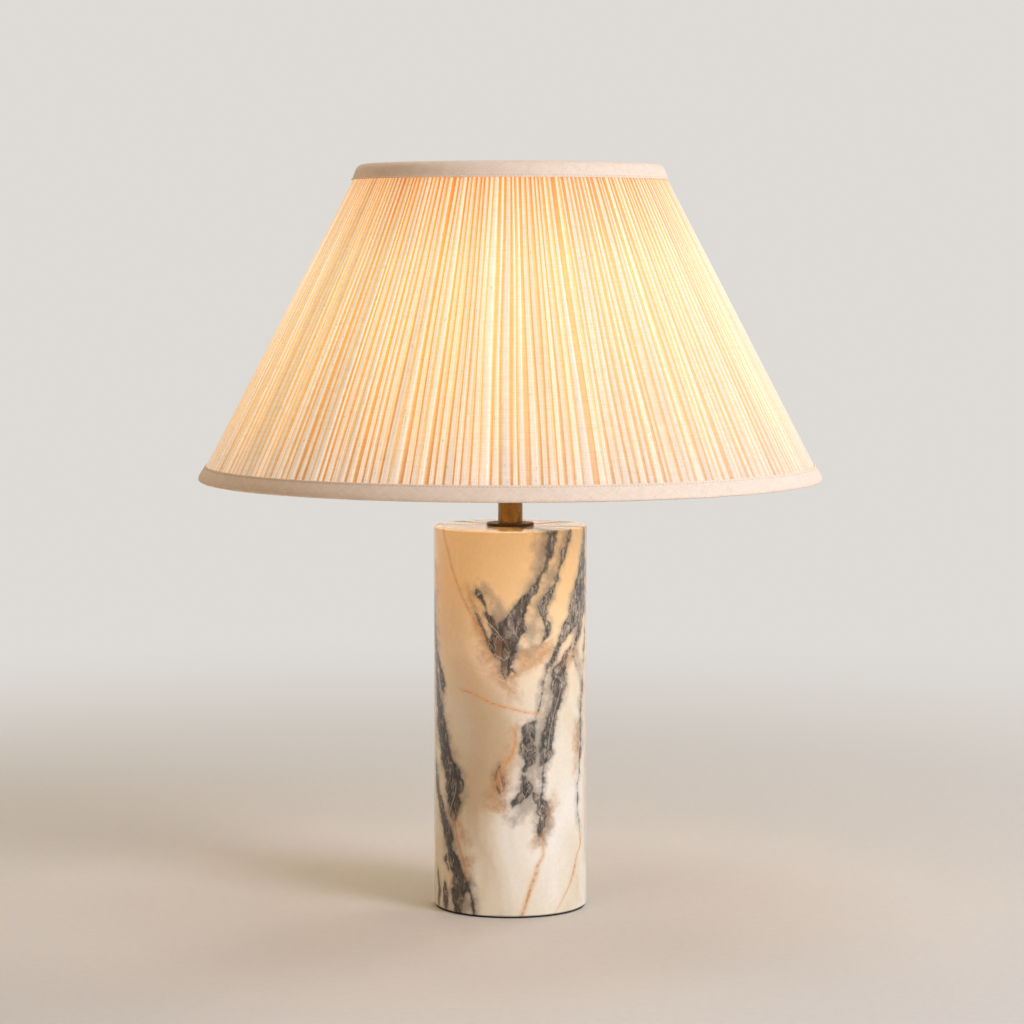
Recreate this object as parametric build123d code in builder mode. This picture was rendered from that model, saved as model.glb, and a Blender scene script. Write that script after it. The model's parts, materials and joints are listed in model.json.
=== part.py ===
from build123d import *
import os
from math import cos, pi, radians, sin, sqrt, tan

# Column table lamp. Millimetres, +Z up. The origin is the middle of the foot, on the table.
# The front faces -Y. The cable leaves at the back, through +Y.

# ---------------------------------------------------------------- driving sizes
# Stone column
column_diameter = 100.0
column_top = 250.0
column_edge = 0.8
rod_hole_diameter = 12.0
cavity_diameter = 64.0
cavity_ceiling = 26.0
cable_hole_diameter = 10.0
cable_height = 11.0
spotface_depth = 2.2

# Pad, base plate and their fixings
pad_diameter = 98.0
pad_thickness = 1.2
plate_diameter = 84.0
plate_thickness = 2.0
plate_clearance = 0.3
fixing_circle = 74.0
fixing_count = 3
fixing_screw_diameter = 4.0
fixing_screw_length = 11.0
countersink_diameter = 7.0
countersink_depth = 1.6
insert_diameter = 6.4
insert_length = 10.0

# Cable bush
bush_bore_diameter = 7.0
bush_flange_diameter = 15.0
bush_flange_thickness = 1.5
bush_edge_round = 0.6
bush_length = 17.0

# Hollow rod and what clamps it
rod_diameter = 10.0
rod_bore_diameter = 7.0
rod_bottom = 14.0
thread_clearance = 0.05
hole_clearance = 0.25
clamp_washer_diameter = 40.0
clamp_washer_thickness = 2.5
tag_diameter = 18.0
tag_thickness = 0.8
tag_width = 6.0
tag_reach = 17.5
tag_angle = -20.0
tag_hole_diameter = 2.4
lock_washer_diameter = 16.0
lock_washer_thickness = 1.0
nut_across_flats = 14.0
nut_thickness = 5.0
rod_bush_flange_diameter = 12.0
rod_bush_flange_thickness = 1.2
rod_bush_wall = 0.5
rod_bush_length = 6.0

# Terminal block
block_width = 30.0
block_depth = 15.0
block_height = 12.0
block_corner = 1.0
block_setback = 19.5
pole_pitch = 8.0
pole_height = 6.0
sleeve_diameter = 4.0
sleeve_bore_diameter = 2.6
sleeve_inset = 1.0
clamp_screw_diameter = 2.0
clamp_screw_spread = 7.0
clamp_screw_inset = 0.8
fixing_screw_spread = 24.0
block_screw_diameter = 2.5
block_screw_head_diameter = 4.4
block_screw_head_height = 1.8

# Leads
wire_diameter = 2.2
wire_bundle_radius = 1.6
wire_reach_in_sleeve = 3.0

# Stem
flange_diameter = 31.0
flange_thickness = 2.0
flange_edge = 0.5
stem_diameter = 16.0
stem_wall = 1.2
stem_length = 28.0

# Lampholder
holder_diameter = 39.0
skirt_wall = 1.75
cap_neck_height = 8.0
cap_cone_height = 10.0
cap_side_height = 12.0
cap_spigot_height = 6.0
cap_spigot_step = 1.2
cap_wall = 1.2
cap_shoulder_round = 1.2
rod_in_cap = 9.0
lock_screw_diameter = 3.0
lock_screw_length = 2.8
lock_screw_gap = 0.1
lock_screw_height = 4.0
switch_clearance = 0.2
switch_height = 14.0
switch_drop = 2.0
bar_diameter = 4.0
bar_hole_diameter = 4.5
bar_height = 4.5
bar_travel = 5.0
knob_diameter = 7.0
knob_length = 5.0
knob_gap = 0.5
post_diameter = 5.0
post_height = 3.5
post_spread = 16.0
post_bore_diameter = 2.6
post_roof = 0.8
post_screw_diameter = 2.0
post_screw_inset = 0.2
core_floor = 8.0
core_cup_depth = 24.0
core_cup_clearance = 0.2
core_screw_diameter = 2.5
core_screw_spread = 20.0
core_screw_length = 14.0
core_screw_head_diameter = 4.4
core_screw_head_height = 1.4
shell_wall = 0.4
shell_thread_depth = 0.7
shell_length = 22.0
shell_lip = 3.0
shell_foot_width = 6.0
shell_foot_depth = 2.0
foot_curve = 0.4
contact_thickness = 0.5
contact_width = 6.0
contact_length = 16.0
contact_foot = 6.0
contact_ramp = 3.0
contact_rise = 3.7
contact_seat = 0.3
skirt_shoulder_diameter = 45.0
skirt_shoulder_thickness = 2.0
skirt_lip_opening = 31.0
skirt_lip_thickness = 1.2
skirt_lip_gap = 1.0
skirt_spigot_gap = 0.3
skirt_rise = 12.0
ring_diameter = 49.0
ring_height = 7.0
ring_grip_count = 30
ring_grip_depth = 0.7
ring_bore_clearance = 0.05

# Bulb (screw cap, 27 mm thread, 60 mm globe)
bulb_length = 105.0
globe_diameter = 60.0
glass_wall = 1.0
bulb_neck_diameter = 28.0
bulb_neck_height = 6.0
bulb_shoulder_angle = 38.0
bulb_cap_diameter = 26.0
bulb_cap_length = 18.0
bulb_cap_wall = 0.4
bulb_thread_pitch = 3.6
bulb_thread_depth = 0.7
bulb_thread_turns = 4
bulb_thread_start = 1.5
bulb_rim_flare = 1.0
insulator_diameter = 20.0
insulator_height = 4.5
insulator_inset = 2.0
contact_button_diameter = 10.0
contact_button_height = 2.0
contact_button_round = 1.5
bulb_stem_diameter = 11.0
bulb_stem_height = 26.0
bulb_stem_flare = 4.0
filament_count = 4
filament_diameter = 1.6
filament_length = 34.0
filament_overlap = 2.0
filament_gap = 0.1
filament_lean = 9.0

# Shade: the cloth's outer cone, its nominal diameters being 400 and 200
shade_gap = 30.0
shade_height = 204.5
shade_bottom_diameter = 405.2
shade_top_diameter = 192.8
cloth_depth = 2.1
pleat_depth = 1.5
pleat_count = 108
pleat_valley_share = 0.27
pleat_flank_share = 0.09
pleat_unevenness = 0.3
lining_thickness = 0.9
lining_inset = 0.8
trim_height = 10.4
trim_thickness = 0.7
trim_stand = 0.15
trim_inner_height = 5.5
trim_round = 1.2
top_corner_drop = 4.0
top_corner_stand = 1.6
shade_wire_diameter = 3.0
wire_seat = 0.1
arm_count = 3
arm_angle = 90.0
arm_rise = 6.0
arm_landing = 8.0
arm_lower_bend = 3.5
arm_upper_bend = 8.0

# Ring that carries the shade
fitter_drop = 44.5
fitter_outer_diameter = 103.0
fitter_width = 4.5
fitter_thickness = 2.0
fitter_clearance = 0.5
ledge_thickness = 1.2
ledge_reach = 1.0
ledge_lip_thickness = 1.4
ledge_lip_height = 2.6
carrier_wire_diameter = 3.2
carrier_hub_diameter = 56.0
carrier_hub_thickness = 1.5
carrier_hub_clearance = 0.3
carrier_waist_radius = 41.0
carrier_waist_splay = 2.0
carrier_hub_rise = 3.0
carrier_waist_rise = 32.0
carrier_bend_radius = 10.0
carrier_trim_clearance = 1.0

# ---------------------------------------------------------------- sizes that follow
plate_top = pad_thickness + plate_thickness
block_top = plate_top + block_height
pole_level = plate_top + pole_height
block_back = block_depth / 2 - block_setback
block_screw_places = [
    (-fixing_screw_spread / 2, -block_setback),
    (fixing_screw_spread / 2, -block_setback),
]
shade_bottom = column_top + shade_gap
shade_top = shade_bottom + shade_height
fitter_level = shade_top - fitter_drop
shade_taper = (shade_bottom_diameter - shade_top_diameter) / 2 / shade_height
shade_slant = sqrt(1 + shade_taper**2)
cloth_ratio = 1 - cloth_depth / (shade_bottom_diameter / 2)
shade_wire_gap = (shade_wire_diameter / 2 + wire_seat) * shade_slant

stem_bottom = column_top + flange_thickness
cap_bottom = stem_bottom + stem_length
cap_cone_bottom = cap_bottom + cap_neck_height
cap_side_bottom = cap_cone_bottom + cap_cone_height
cap_shoulder = cap_side_bottom + cap_side_height
cap_top = cap_shoulder + cap_spigot_height
rod_top = cap_bottom + rod_in_cap
cap_spigot_radius = holder_diameter / 2 - cap_spigot_step
cap_inner_radius = cap_spigot_radius - cap_wall
skirt_inner_radius = holder_diameter / 2 - skirt_wall
switch_bottom = cap_top - switch_drop - switch_height
switch_top = switch_bottom + switch_height
switch_radius = cap_inner_radius - switch_clearance
bar_level = switch_bottom + bar_height
core_floor_level = switch_top + core_floor
core_top_level = core_floor_level + core_cup_depth
contact_top = core_floor_level + contact_rise
bulb_tip = contact_top + contact_seat
shell_bottom = core_floor_level + shell_lip
shell_minor_radius = bulb_cap_diameter / 2 + hole_clearance
shell_major_radius = shell_minor_radius + shell_thread_depth
core_cup_radius = shell_major_radius + shell_wall + core_cup_clearance
skirt_top = core_top_level + skirt_lip_gap + skirt_lip_thickness
skirt_shoulder_top = cap_top + skirt_rise
carrier_hub_top = skirt_shoulder_top + carrier_hub_thickness
bulb_top = bulb_tip + bulb_length
globe_centre = bulb_top - globe_diameter / 2


def cloth_radius(height):
    """Outer radius of the gathered cloth at a height above the table."""
    return shade_bottom_diameter / 2 - shade_taper * (height - shade_bottom)


def lining_outer(height):
    """Outer radius of the stiff lining, which the cloth lies on."""
    return cloth_radius(height) * cloth_ratio


def lining_inner(height):
    """Inner radius of the stiff lining."""
    return lining_outer(height) - lining_thickness * shade_slant


def polar(radius, angle):
    """Point on a circle round the lamp's axis, the angle in degrees from +X."""
    return (radius * cos(radians(angle)), radius * sin(radians(angle)))


def bend_radii(points):
    """Largest arcs that the runs of a lead leave room for."""
    radii = []
    for before, corner, after in zip(points, points[1:], points[2:]):
        run_in = Vector(*corner) - Vector(*before)
        run_out = Vector(*after) - Vector(*corner)
        turn = radians(run_in.get_angle(run_out))
        radii.append(0.45 * min(run_in.length, run_out.length) / tan(turn / 2))
    return radii


os.makedirs("parts", exist_ok=True)


def save(piece, label):
    """Label a finished piece and write its file."""
    piece.part.label = label
    export_step(piece.part, f"parts/{label}.step")


# ---------------------------------------------------------------- foot and column
with BuildPart() as base_pad:
    with BuildSketch():
        Circle(pad_diameter / 2)
    extrude(amount=pad_thickness)
save(base_pad, "base_pad")

with BuildPart() as base_plate:
    with BuildSketch(Plane.XY.offset(pad_thickness)):
        Circle(plate_diameter / 2)
    extrude(amount=plate_thickness)
    with BuildSketch(Plane.XY.offset(pad_thickness)):
        with PolarLocations(fixing_circle / 2, fixing_count, start_angle=-90):
            Circle(fixing_screw_diameter / 2 + hole_clearance)
        with Locations(*block_screw_places):
            Circle(block_screw_diameter / 2 + thread_clearance)
    extrude(amount=plate_thickness, mode=Mode.SUBTRACT)
    with Locations((0, 0, pad_thickness)):
        with PolarLocations(fixing_circle / 2, fixing_count, start_angle=-90):
            Cone(
                countersink_diameter / 2 + hole_clearance,
                fixing_screw_diameter / 2 + hole_clearance,
                countersink_depth,
                align=(Align.CENTER, Align.CENTER, Align.MIN),
                mode=Mode.SUBTRACT,
            )
save(base_plate, "base_plate")

with BuildPart() as base_screws:
    with BuildSketch(Plane.XY.offset(pad_thickness)):
        with PolarLocations(fixing_circle / 2, fixing_count, start_angle=-90):
            Circle(fixing_screw_diameter / 2)
    extrude(amount=fixing_screw_length)
    with Locations((0, 0, pad_thickness)):
        with PolarLocations(fixing_circle / 2, fixing_count, start_angle=-90):
            Cone(
                countersink_diameter / 2,
                fixing_screw_diameter / 2,
                countersink_depth,
                align=(Align.CENTER, Align.CENTER, Align.MIN),
            )
save(base_screws, "base_screws")

with BuildPart() as base_inserts:
    with BuildSketch(Plane.XY.offset(plate_top)):
        with PolarLocations(fixing_circle / 2, fixing_count, start_angle=-90):
            Circle(insert_diameter / 2)
            Circle(fixing_screw_diameter / 2 + thread_clearance, mode=Mode.SUBTRACT)
    extrude(amount=insert_length)
save(base_inserts, "base_inserts")

with BuildPart() as marble_column:
    with BuildSketch(Plane.XY.offset(pad_thickness)):
        Circle(column_diameter / 2)
    extrude(amount=column_top - pad_thickness)
    chamfer(marble_column.edges().filter_by(GeomType.CIRCLE), length=column_edge)
    with BuildSketch(Plane.XY.offset(pad_thickness)):
        Circle(plate_diameter / 2 + plate_clearance)
    extrude(amount=plate_thickness, mode=Mode.SUBTRACT)
    with BuildSketch(Plane.XY.offset(plate_top)):
        Circle(cavity_diameter / 2)
    extrude(amount=cavity_ceiling - plate_top, mode=Mode.SUBTRACT)
    with BuildSketch(Plane.XY.offset(cavity_ceiling)):
        Circle(rod_hole_diameter / 2)
    extrude(amount=column_top - cavity_ceiling, mode=Mode.SUBTRACT)
    with BuildSketch(Plane.XY.offset(plate_top)):
        with PolarLocations(fixing_circle / 2, fixing_count, start_angle=-90):
            Circle(insert_diameter / 2 + thread_clearance)
    extrude(amount=max(insert_length, fixing_screw_length), mode=Mode.SUBTRACT)
    with BuildSketch(Plane.XZ.offset(-column_diameter / 2)):
        with Locations((0, cable_height)):
            Circle(cable_hole_diameter / 2)
    extrude(amount=(column_diameter - cavity_diameter) / 2 + pad_thickness, mode=Mode.SUBTRACT)
    with BuildSketch(Plane.XZ.offset(-column_diameter / 2)):
        with Locations((0, cable_height)):
            Circle(bush_flange_diameter / 2 + hole_clearance)
    extrude(amount=spotface_depth, mode=Mode.SUBTRACT)
save(marble_column, "marble_column")

bush_face = column_diameter / 2 - spotface_depth
with BuildPart() as cable_bush:
    with BuildSketch(Plane.XZ.offset(-bush_face)):
        with Locations((0, cable_height)):
            Circle(cable_hole_diameter / 2 - thread_clearance)
    extrude(amount=bush_length - bush_flange_thickness)
    with BuildSketch(Plane.XZ.offset(-bush_face)):
        with Locations((0, cable_height)):
            Circle(bush_flange_diameter / 2)
    extrude(amount=-bush_flange_thickness)
    fillet(cable_bush.edges().group_by(Axis.Y)[-1], radius=bush_edge_round)
    with BuildSketch(Plane.XZ.offset(-bush_face - bush_flange_thickness)):
        with Locations((0, cable_height)):
            Circle(bush_bore_diameter / 2)
    extrude(amount=bush_length, mode=Mode.SUBTRACT)
save(cable_bush, "cable_bush")

# ---------------------------------------------------------------- rod and its clamp on the cavity's ceiling
washer_bottom = cavity_ceiling - clamp_washer_thickness
tag_bottom = washer_bottom - tag_thickness
lock_washer_bottom = tag_bottom - lock_washer_thickness
nut_bottom = lock_washer_bottom - nut_thickness


def disc(bottom, thickness, outer_diameter, inner_diameter):
    """Flat ring on the lamp's axis."""
    with BuildPart() as ring:
        with BuildSketch(Plane.XY.offset(bottom)):
            Circle(outer_diameter / 2)
            Circle(inner_diameter / 2, mode=Mode.SUBTRACT)
        extrude(amount=thickness)
    return ring


rod_clear_diameter = rod_diameter + 2 * hole_clearance
rod_thread_diameter = rod_diameter + 2 * thread_clearance

threaded_rod = disc(rod_bottom, rod_top - rod_bottom, rod_diameter, rod_bore_diameter)
save(threaded_rod, "threaded_rod")

clamp_washer = disc(washer_bottom, clamp_washer_thickness, clamp_washer_diameter, rod_clear_diameter)
save(clamp_washer, "clamp_washer")

lock_washer = disc(lock_washer_bottom, lock_washer_thickness, lock_washer_diameter, rod_clear_diameter)
save(lock_washer, "lock_washer")

with BuildPart() as earth_tag:
    with BuildSketch(Plane.XY.offset(tag_bottom)):
        Circle(tag_diameter / 2)
        with Locations(Location((0, 0, 0), tag_angle)):
            Rectangle(tag_reach, tag_width, align=(Align.MIN, Align.CENTER))
        Circle(rod_clear_diameter / 2, mode=Mode.SUBTRACT)
        with Locations(polar(tag_reach - tag_width / 2, tag_angle)):
            Circle(tag_hole_diameter / 2, mode=Mode.SUBTRACT)
    extrude(amount=tag_thickness)
save(earth_tag, "earth_tag")

with BuildPart() as bottom_nut:
    with BuildSketch(Plane.XY.offset(nut_bottom)):
        RegularPolygon(nut_across_flats / 2, 6, major_radius=False)
        Circle(rod_thread_diameter / 2, mode=Mode.SUBTRACT)
    extrude(amount=nut_thickness)
save(bottom_nut, "bottom_nut")

with BuildPart() as rod_bush:
    with BuildSketch(Plane.XY.offset(rod_bottom - rod_bush_flange_thickness)):
        Circle(rod_bush_flange_diameter / 2)
    extrude(amount=rod_bush_flange_thickness)
    with BuildSketch(Plane.XY.offset(rod_bottom)):
        Circle(rod_bore_diameter / 2 - thread_clearance)
    extrude(amount=rod_bush_length)
    with BuildSketch(Plane.XY.offset(rod_bottom - rod_bush_flange_thickness)):
        Circle(rod_bore_diameter / 2 - thread_clearance - rod_bush_wall)
    extrude(amount=rod_bush_length + rod_bush_flange_thickness, mode=Mode.SUBTRACT)
save(rod_bush, "rod_bush")

# ---------------------------------------------------------------- terminal block on the base plate
pole_places = [(-pole_pitch, pole_level), (0, pole_level), (pole_pitch, pole_level)]
clamp_screw_places = [
    (side * pole_pitch, -block_setback + end * clamp_screw_spread / 2)
    for side in (-1, 0, 1)
    for end in (-1, 1)
]
clamp_screw_hole = clamp_screw_diameter / 2 + thread_clearance
clamp_screw_bottom = pole_level + wire_diameter / 2 + thread_clearance

with BuildPart() as terminal_block:
    with BuildSketch(Plane.XY.offset(plate_top)):
        with Locations((0, -block_setback)):
            RectangleRounded(block_width, block_depth, block_corner)
    extrude(amount=block_height)
    with BuildSketch(Plane.XZ.offset(-block_back)):
        with Locations(*pole_places):
            Circle(sleeve_diameter / 2 + thread_clearance)
    extrude(amount=block_depth, mode=Mode.SUBTRACT)
    with BuildSketch(Plane.XY.offset(pole_level)):
        with Locations(*clamp_screw_places):
            Circle(clamp_screw_hole)
    extrude(amount=block_height, mode=Mode.SUBTRACT)
    with BuildSketch(Plane.XY.offset(plate_top)):
        with Locations(*block_screw_places):
            Circle(block_screw_diameter / 2 + hole_clearance)
    extrude(amount=block_height, mode=Mode.SUBTRACT)
save(terminal_block, "terminal_block")

with BuildPart() as block_sleeves:
    with BuildSketch(Plane.XZ.offset(-block_back + sleeve_inset)):
        with Locations(*pole_places):
            Circle(sleeve_diameter / 2)
            Circle(sleeve_bore_diameter / 2, mode=Mode.SUBTRACT)
    extrude(amount=block_depth - 2 * sleeve_inset)
    with BuildSketch(Plane.XY.offset(pole_level)):
        with Locations(*clamp_screw_places):
            Circle(clamp_screw_hole)
    extrude(amount=block_height, mode=Mode.SUBTRACT)
save(block_sleeves, "block_sleeves")

with BuildPart() as block_clamp_screws:
    with BuildSketch(Plane.XY.offset(clamp_screw_bottom)):
        with Locations(*clamp_screw_places):
            Circle(clamp_screw_diameter / 2)
    extrude(amount=block_top - clamp_screw_inset - clamp_screw_bottom)
save(block_clamp_screws, "block_clamp_screws")

with BuildPart() as block_fixing_screws:
    with BuildSketch(Plane.XY.offset(pad_thickness)):
        with Locations(*block_screw_places):
            Circle(block_screw_diameter / 2)
    extrude(amount=plate_thickness + block_height)
    with BuildSketch(Plane.XY.offset(block_top)):
        with Locations(*block_screw_places):
            Circle(block_screw_head_diameter / 2)
    extrude(amount=block_screw_head_height)
save(block_fixing_screws, "block_fixing_screws")

# ---------------------------------------------------------------- leads inside the lamp
post_bottom = switch_bottom - post_height
sleeve_entry = block_back - wire_reach_in_sleeve - sleeve_inset
under_rod = rod_bottom - rod_bush_flange_thickness


def lead(points):
    """Round lead along straight runs joined by arcs."""
    with BuildPart() as wire:
        with BuildLine() as path:
            FilletPolyline(*points, radius=bend_radii(points))
        with BuildSketch(Plane(path.line @ 0, z_dir=path.line % 0)):
            Circle(wire_diameter / 2)
        sweep(path=path.line)
    return wire


def mains_lead(side, pole):
    """Lead from a pole of the block, up the rod, to a post of the lampholder."""
    in_rod = side * wire_bundle_radius
    at_post = side * post_spread / 2
    return [
        (pole, sleeve_entry, pole_level),
        (pole, block_back + 3.2, pole_level),
        (0.55 * pole + 0.3 * side, block_back + 8.4, pole_level - 2.6),
        (in_rod, -0.6, pole_level - 1.6),
        (in_rod, 0, under_rod + 1.0),
        (in_rod, 0, rod_top + 1.2),
        (at_post, 0, rod_top + 5.4),
        (at_post, 0, post_bottom + 2.4),
    ]


live_points = mains_lead(-1, -pole_pitch)
wire_live = lead(live_points)
save(wire_live, "wire_live")

neutral_points = mains_lead(1, 0)
wire_neutral = lead(neutral_points)
save(wire_neutral, "wire_neutral")

tag_end = polar(tag_reach - tag_width / 2, tag_angle)
earth_points = [
    (pole_pitch, sleeve_entry, pole_level),
    (pole_pitch, block_back + 3.0, pole_level),
    (pole_pitch + 3.0, block_back + 7.0, pole_level + 2.0),
    (tag_end[0], tag_end[1], pole_level + 5.5),
    (tag_end[0], tag_end[1], tag_bottom),
]
wire_earth = lead(earth_points)
save(wire_earth, "wire_earth")

# ---------------------------------------------------------------- stem
with BuildPart() as top_flange:
    with BuildSketch(Plane.XY.offset(column_top)):
        Circle(flange_diameter / 2)
    extrude(amount=flange_thickness)
    chamfer(top_flange.edges().group_by(Axis.Z)[-1], length=flange_edge)
    with BuildSketch(Plane.XY.offset(column_top)):
        Circle(rod_clear_diameter / 2)
    extrude(amount=flange_thickness, mode=Mode.SUBTRACT)
save(top_flange, "top_flange")

stem_tube = disc(stem_bottom, stem_length, stem_diameter, stem_diameter - 2 * stem_wall)
save(stem_tube, "stem_tube")

# ---------------------------------------------------------------- lampholder
with BuildPart() as holder_cap:
    with BuildSketch(Plane.XZ):
        with BuildLine():
            Polyline(
                (rod_thread_diameter / 2, cap_bottom),
                (stem_diameter / 2, cap_bottom),
                (stem_diameter / 2, cap_cone_bottom),
                (holder_diameter / 2 - cap_shoulder_round, cap_side_bottom),
                (holder_diameter / 2, cap_side_bottom + cap_shoulder_round),
                (holder_diameter / 2, cap_shoulder),
                (cap_spigot_radius, cap_shoulder),
                (cap_spigot_radius, cap_top),
                (cap_inner_radius, cap_top),
                (cap_inner_radius, cap_side_bottom + cap_shoulder_round),
                (stem_diameter / 2, cap_cone_bottom + cap_wall),
                (rod_thread_diameter / 2, cap_cone_bottom + cap_wall),
                close=True,
            )
        make_face()
    revolve(axis=Axis.Z)
    with BuildSketch(Plane.YZ.offset(-holder_diameter / 2)):
        with Locations((0, bar_level)):
            Circle(bar_hole_diameter / 2)
    extrude(amount=holder_diameter, mode=Mode.SUBTRACT)
    with BuildSketch(Plane.XZ):
        with Locations((0, cap_bottom + lock_screw_height)):
            Circle(lock_screw_diameter / 2 + thread_clearance)
    extrude(amount=-stem_diameter, mode=Mode.SUBTRACT)
save(holder_cap, "holder_cap")

with BuildPart() as lock_screw:
    with BuildSketch(Plane.XZ.offset(-rod_diameter / 2 - lock_screw_gap)):
        with Locations((0, cap_bottom + lock_screw_height)):
            Circle(lock_screw_diameter / 2)
    extrude(amount=-lock_screw_length)
    with BuildSketch(Plane.XZ.offset(-rod_diameter / 2 - lock_screw_gap - lock_screw_length)):
        with Locations((0, cap_bottom + lock_screw_height)):
            Rectangle(lock_screw_diameter, lock_screw_diameter / 5)
    extrude(amount=lock_screw_diameter / 4, mode=Mode.SUBTRACT)
save(lock_screw, "lock_screw")

post_places = [(-post_spread / 2, 0), (post_spread / 2, 0)]
post_screw_level = post_bottom + (post_height - post_roof) / 2
post_screw_places = [(-post_spread / 2, post_screw_level), (post_spread / 2, post_screw_level)]
core_screw_places = [(0, -core_screw_spread / 2), (0, core_screw_spread / 2)]

with BuildPart() as switch_body:
    with BuildSketch(Plane.XY.offset(switch_bottom)):
        Circle(switch_radius)
        with Locations(*core_screw_places):
            Circle(core_screw_diameter / 2 + thread_clearance, mode=Mode.SUBTRACT)
    extrude(amount=switch_height)
    with BuildSketch(Plane.YZ.offset(-switch_radius)):
        with Locations((0, bar_level)):
            Circle(bar_hole_diameter / 2)
    extrude(amount=2 * switch_radius, mode=Mode.SUBTRACT)
save(switch_body, "switch_body")

with BuildPart() as holder_terminals:
    with BuildSketch(Plane.XY.offset(post_bottom)):
        with Locations(*post_places):
            Circle(post_diameter / 2)
    extrude(amount=post_height)
    with BuildSketch(Plane.XY.offset(post_bottom)):
        with Locations(*post_places):
            Circle(post_bore_diameter / 2)
    extrude(amount=post_height - post_roof, mode=Mode.SUBTRACT)
    with BuildSketch(Plane.XZ):
        with Locations(*post_screw_places):
            Circle(post_screw_diameter / 2 + thread_clearance)
    extrude(amount=post_diameter, mode=Mode.SUBTRACT)
save(holder_terminals, "holder_terminals")

with BuildPart() as holder_terminal_screws:
    with BuildSketch(Plane.XZ.offset(wire_diameter / 2 + thread_clearance)):
        with Locations(*post_screw_places):
            Circle(post_screw_diameter / 2)
    extrude(amount=post_diameter / 2 - post_screw_inset)
save(holder_terminal_screws, "holder_terminal_screws")

with BuildPart() as holder_core:
    with BuildSketch(Plane.XY.offset(switch_top)):
        Circle(switch_radius)
    extrude(amount=core_top_level - switch_top)
    with BuildSketch(Plane.XY.offset(core_floor_level)):
        Circle(core_cup_radius)
    extrude(amount=core_cup_depth, mode=Mode.SUBTRACT)
    with BuildSketch(Plane.XY.offset(switch_top)):
        with Locations(*core_screw_places):
            Circle(core_screw_diameter / 2 + hole_clearance)
    extrude(amount=core_floor, mode=Mode.SUBTRACT)
    with BuildSketch(Plane.XY.offset(core_floor_level - core_screw_head_height)):
        with Locations(*core_screw_places):
            Circle(core_screw_head_diameter / 2 + hole_clearance)
    extrude(amount=core_screw_head_height, mode=Mode.SUBTRACT)
save(holder_core, "holder_core")

with BuildPart() as core_screws:
    with BuildSketch(Plane.XY.offset(core_floor_level - core_screw_head_height)):
        with Locations(*core_screw_places):
            Circle(core_screw_diameter / 2)
    extrude(amount=-core_screw_length)
    with BuildSketch(Plane.XY.offset(core_floor_level - core_screw_head_height)):
        with Locations(*core_screw_places):
            Circle(core_screw_head_diameter / 2)
    extrude(amount=core_screw_head_height)
save(core_screws, "core_screws")


# the threads of the shell and of the bulb's cap are drawn as rings that clear each other
def thread_profile(radius_at_root, radius_at_crest, bottom, turns, start):
    """Zigzag of a coarse round thread, as points from the bottom up."""
    points = []
    for turn in range(turns):
        low = bottom + start + turn * bulb_thread_pitch
        points.append((radius_at_root, low))
        points.append((radius_at_crest, low + bulb_thread_pitch / 2))
    points.append((radius_at_root, bottom + start + turns * bulb_thread_pitch))
    return points


with BuildPart() as screw_shell:
    inner = thread_profile(
        shell_minor_radius, shell_major_radius, shell_bottom, bulb_thread_turns, bulb_thread_start
    )
    outer = [(r + shell_wall, z) for r, z in reversed(inner)]
    with BuildSketch(Plane.XZ):
        with BuildLine():
            Polyline(
                (shell_minor_radius, shell_bottom),
                *inner,
                (shell_minor_radius, shell_bottom + shell_length),
                (shell_minor_radius + shell_wall, shell_bottom + shell_length),
                *outer,
                (shell_minor_radius + shell_wall, shell_bottom),
                close=True,
            )
        make_face()
    revolve(axis=Axis.Z)
    shell_foot_place = core_cup_radius - core_cup_clearance - shell_foot_depth / 2 - foot_curve
    with BuildSketch(Plane.XY.offset(core_floor_level)):
        with Locations((0, shell_foot_place), (0, -shell_foot_place)):
            Rectangle(shell_foot_width, shell_foot_depth)
    extrude(amount=shell_bottom - core_floor_level)
save(screw_shell, "screw_shell")

with BuildPart() as centre_contact:
    with BuildSketch(Plane.XZ.offset(-contact_width / 2)):
        with BuildLine() as leaf:
            Polyline(
                (-contact_length / 2, core_floor_level + contact_thickness / 2),
                (-contact_length / 2 + contact_foot, core_floor_level + contact_thickness / 2),
                (-contact_length / 2 + contact_foot + contact_ramp, contact_top - contact_thickness / 2),
                (contact_length / 2 - contact_ramp, contact_top - contact_thickness / 2),
            )
            offset(amount=contact_thickness / 2, kind=Kind.INTERSECTION, side=Side.BOTH)
        make_face()
    extrude(amount=contact_width)
save(centre_contact, "centre_contact")

with BuildPart() as holder_skirt:
    with BuildSketch(Plane.XZ):
        with BuildLine():
            Polyline(
                (cap_spigot_radius + thread_clearance, cap_shoulder),
                (holder_diameter / 2, cap_shoulder),
                (holder_diameter / 2, skirt_shoulder_top - skirt_shoulder_thickness),
                (skirt_shoulder_diameter / 2, skirt_shoulder_top - skirt_shoulder_thickness),
                (skirt_shoulder_diameter / 2, skirt_shoulder_top),
                (holder_diameter / 2, skirt_shoulder_top),
                (holder_diameter / 2, skirt_top),
                (skirt_lip_opening / 2, skirt_top),
                (skirt_lip_opening / 2, skirt_top - skirt_lip_thickness),
                (skirt_inner_radius, skirt_top - skirt_lip_thickness),
                (skirt_inner_radius, cap_top + skirt_spigot_gap),
                (cap_spigot_radius + thread_clearance, cap_top + skirt_spigot_gap),
                close=True,
            )
        make_face()
    revolve(axis=Axis.Z)
save(holder_skirt, "holder_skirt")

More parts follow.
